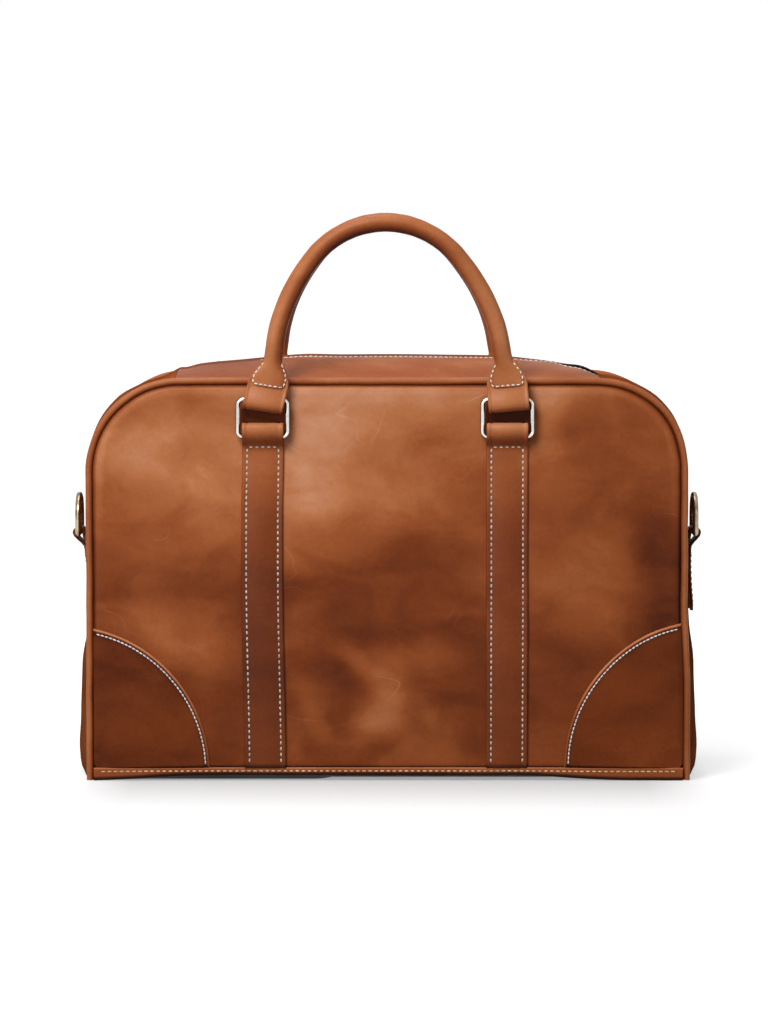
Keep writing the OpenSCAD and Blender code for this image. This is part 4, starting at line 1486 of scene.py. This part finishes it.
# Stiff board in the base
BOARD_IN = 5.0
board_half_t = (BASE_BOARD[1][2] - BASE_BOARD[0][2]) / 2 - 0.1
section = strap_section(BASE_BOARD[1][1] - BOARD_IN, board_half_t)
rings = [[(x, y, middle(BASE_BOARD, 2) + z) for y, z in section]
         for x in spread(BASE_BOARD[0][0], BASE_BOARD[1][0], 12)]
add("base_board_sheet", loft(rings), BOARD, "board", "base_board")

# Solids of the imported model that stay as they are, inside the handles
for node in ("front_handle_core", "back_handle_core"):
    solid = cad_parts[node]
    solid.data.materials.clear()
    solid.data.materials.append(CORE)

# Floor, light and camera, in metres
# The floor's glow levels: lowest at the bag's footprint as a painted contact shadow, and raised beside the
# ends as painted light
FLOOR_GLOW = 0.34
FLOOR_SEEN = 0.385
FLOOR_BOUNCE = 0.365
FLOOR_REACH = 30.0
FOOTPRINT = (0.215, 0.085)
GLOW_REACH = 0.43
SIDE_GLOW = 0.36
SIDE_FADE = (0.185, 0.235)
FRONT_FADE = (-0.25, -0.085)
BACK_FADE = (0.12, 0.45)


def floor_material():
    """A pale floor that glows towards white away from the bag's footprint: the lower glow near it paints a
    contact shadow, and the extra glow beside its ends paints light over the cast shadow there
    """
    material, tree, shader = tree_of("pale_floor")
    path = put(tree, "ShaderNodeLightPath")
    seen = maths(tree, "MAXIMUM", path.outputs["Is Camera Ray"], path.outputs["Is Glossy Ray"])
    feed(tree, shader, {"Roughness": 0.9, "Specular IOR Level": 0.1,
                        "Base Color": ranged(tree, seen, 0.0, 1.0, FLOOR_BOUNCE, FLOOR_SEEN)})
    spot = put(tree, "ShaderNodeSeparateXYZ", {0: placed(tree, (1, 1, 0))}).outputs
    aside = maths(tree, "ABSOLUTE", spot["X"])
    past = []
    for off, half in zip((aside, maths(tree, "ABSOLUTE", spot["Y"])), FOOTPRINT):
        beyond = maths(tree, "MAXIMUM", maths(tree, "SUBTRACT", off, half), 0.0)
        past.append(maths(tree, "POWER", beyond, 2.0))
    away = maths(tree, "SQRT", maths(tree, "ADD", *past))
    beside = ranged(tree, aside, *SIDE_FADE, 0.0, SIDE_GLOW)
    for fade, ends in ((FRONT_FADE, (0.0, 1.0)), (BACK_FADE, (1.0, 0.0))):
        beside = maths(tree, "MULTIPLY", beside, ranged(tree, spot["Y"], *fade, *ends))
    level = maths(tree, "ADD", ranged(tree, away, 0.0, GLOW_REACH, FLOOR_GLOW, 1.0), beside, clamp=True)
    glow = put(tree, "ShaderNodeEmission",
               {"Color": (1, 1, 1, 1), "Strength": maths(tree, "MULTIPLY", seen, level)})
    both = put(tree, "ShaderNodeAddShader", {0: shader.outputs[0], 1: glow.outputs[0]})
    tree.links.new(both.outputs[0], tree.nodes["Material Output"].inputs["Surface"])
    return material


mesh = bpy.data.meshes.new("studio_floor")
floor_corners = ((-1, -1), (1, -1), (1, 1), (-1, 1))
mesh.from_pydata([(FLOOR_REACH * x, FLOOR_REACH * y, 0) for x, y in floor_corners], [], [(0, 1, 2, 3)])
floor = bpy.data.objects.new("studio_floor", mesh)
bpy.context.scene.collection.objects.link(floor)
mesh.materials.append(floor_material())

AMBIENT = 0.16
MIRRORED = 0.75
world = bpy.data.worlds.new("studio")
bpy.context.scene.world = world
world.use_nodes = True
sky = world.node_tree
rays = put(sky, "ShaderNodeLightPath").outputs
seen = maths(sky, "MAXIMUM", rays["Is Camera Ray"], rays["Is Transmission Ray"])
mirrored = maths(sky, "MULTIPLY", rays["Is Glossy Ray"], MIRRORED)
level = maths(sky, "MAXIMUM", maths(sky, "MAXIMUM", seen, mirrored), AMBIENT)
feed(sky, sky.nodes["Background"], {"Color": (1, 1, 1, 1), "Strength": level})


def facing(place, target):
    return (Vector(target) - Vector(place)).to_track_quat("-Z", "Y").to_euler()


def lamp(name, place, target, size, power):
    data = bpy.data.lights.new(name, "AREA")
    data.shape = "RECTANGLE"
    data.size = size[0]
    data.size_y = size[1]
    data.energy = power
    light = bpy.data.objects.new(name, data)
    light.location = place
    light.rotation_euler = facing(place, target)
    bpy.context.scene.collection.objects.link(light)


lamp("key_box", (-0.6, -1.3, 1.5), (0.0, 0.0, 0.2), (0.8, 0.7), 32)
lamp("sky_box", (-0.2, 0.25, 1.9), (0.0, 0.0, 0.25), (1.2, 0.8), 13)
lamp("front_box", (-1.5, -2.4, 1.0), (0.0, -0.05, 0.18), (1.0, 1.0), 12)
lamp("right_box", (1.8, -1.0, 0.8), (0.0, 0.0, 0.18), (0.8, 1.0), 3)

EYE_RANGE = 3.2
EYE_LIFT = math.radians(4.0)
VIEW_HEIGHT = 0.7384
SENSOR = 36.0
AIM = Vector((-0.0031, -0.083, 0.1954))
camera_data = bpy.data.cameras.new("camera")
camera = bpy.data.objects.new("camera", camera_data)
bpy.context.scene.collection.objects.link(camera)
camera.location = AIM + Vector((0, -math.cos(EYE_LIFT), math.sin(EYE_LIFT))) * EYE_RANGE
camera.rotation_euler = facing(camera.location, AIM)
camera_data.sensor_width = SENSOR
camera_data.lens = SENSOR * EYE_RANGE / VIEW_HEIGHT
camera_data.clip_end = 100.0
bpy.context.scene.camera = camera
bpy.context.scene.view_settings.view_transform = "Standard"

# The box of the dressed pieces
bpy.context.view_layer.update()
low = [math.inf] * 3
high = [-math.inf] * 3
for piece in PIECES.values():
    for corner in piece.bound_box:
        for axis in range(3):
            low[axis] = min(low[axis], corner[axis])
            high[axis] = max(high[axis], corner[axis])
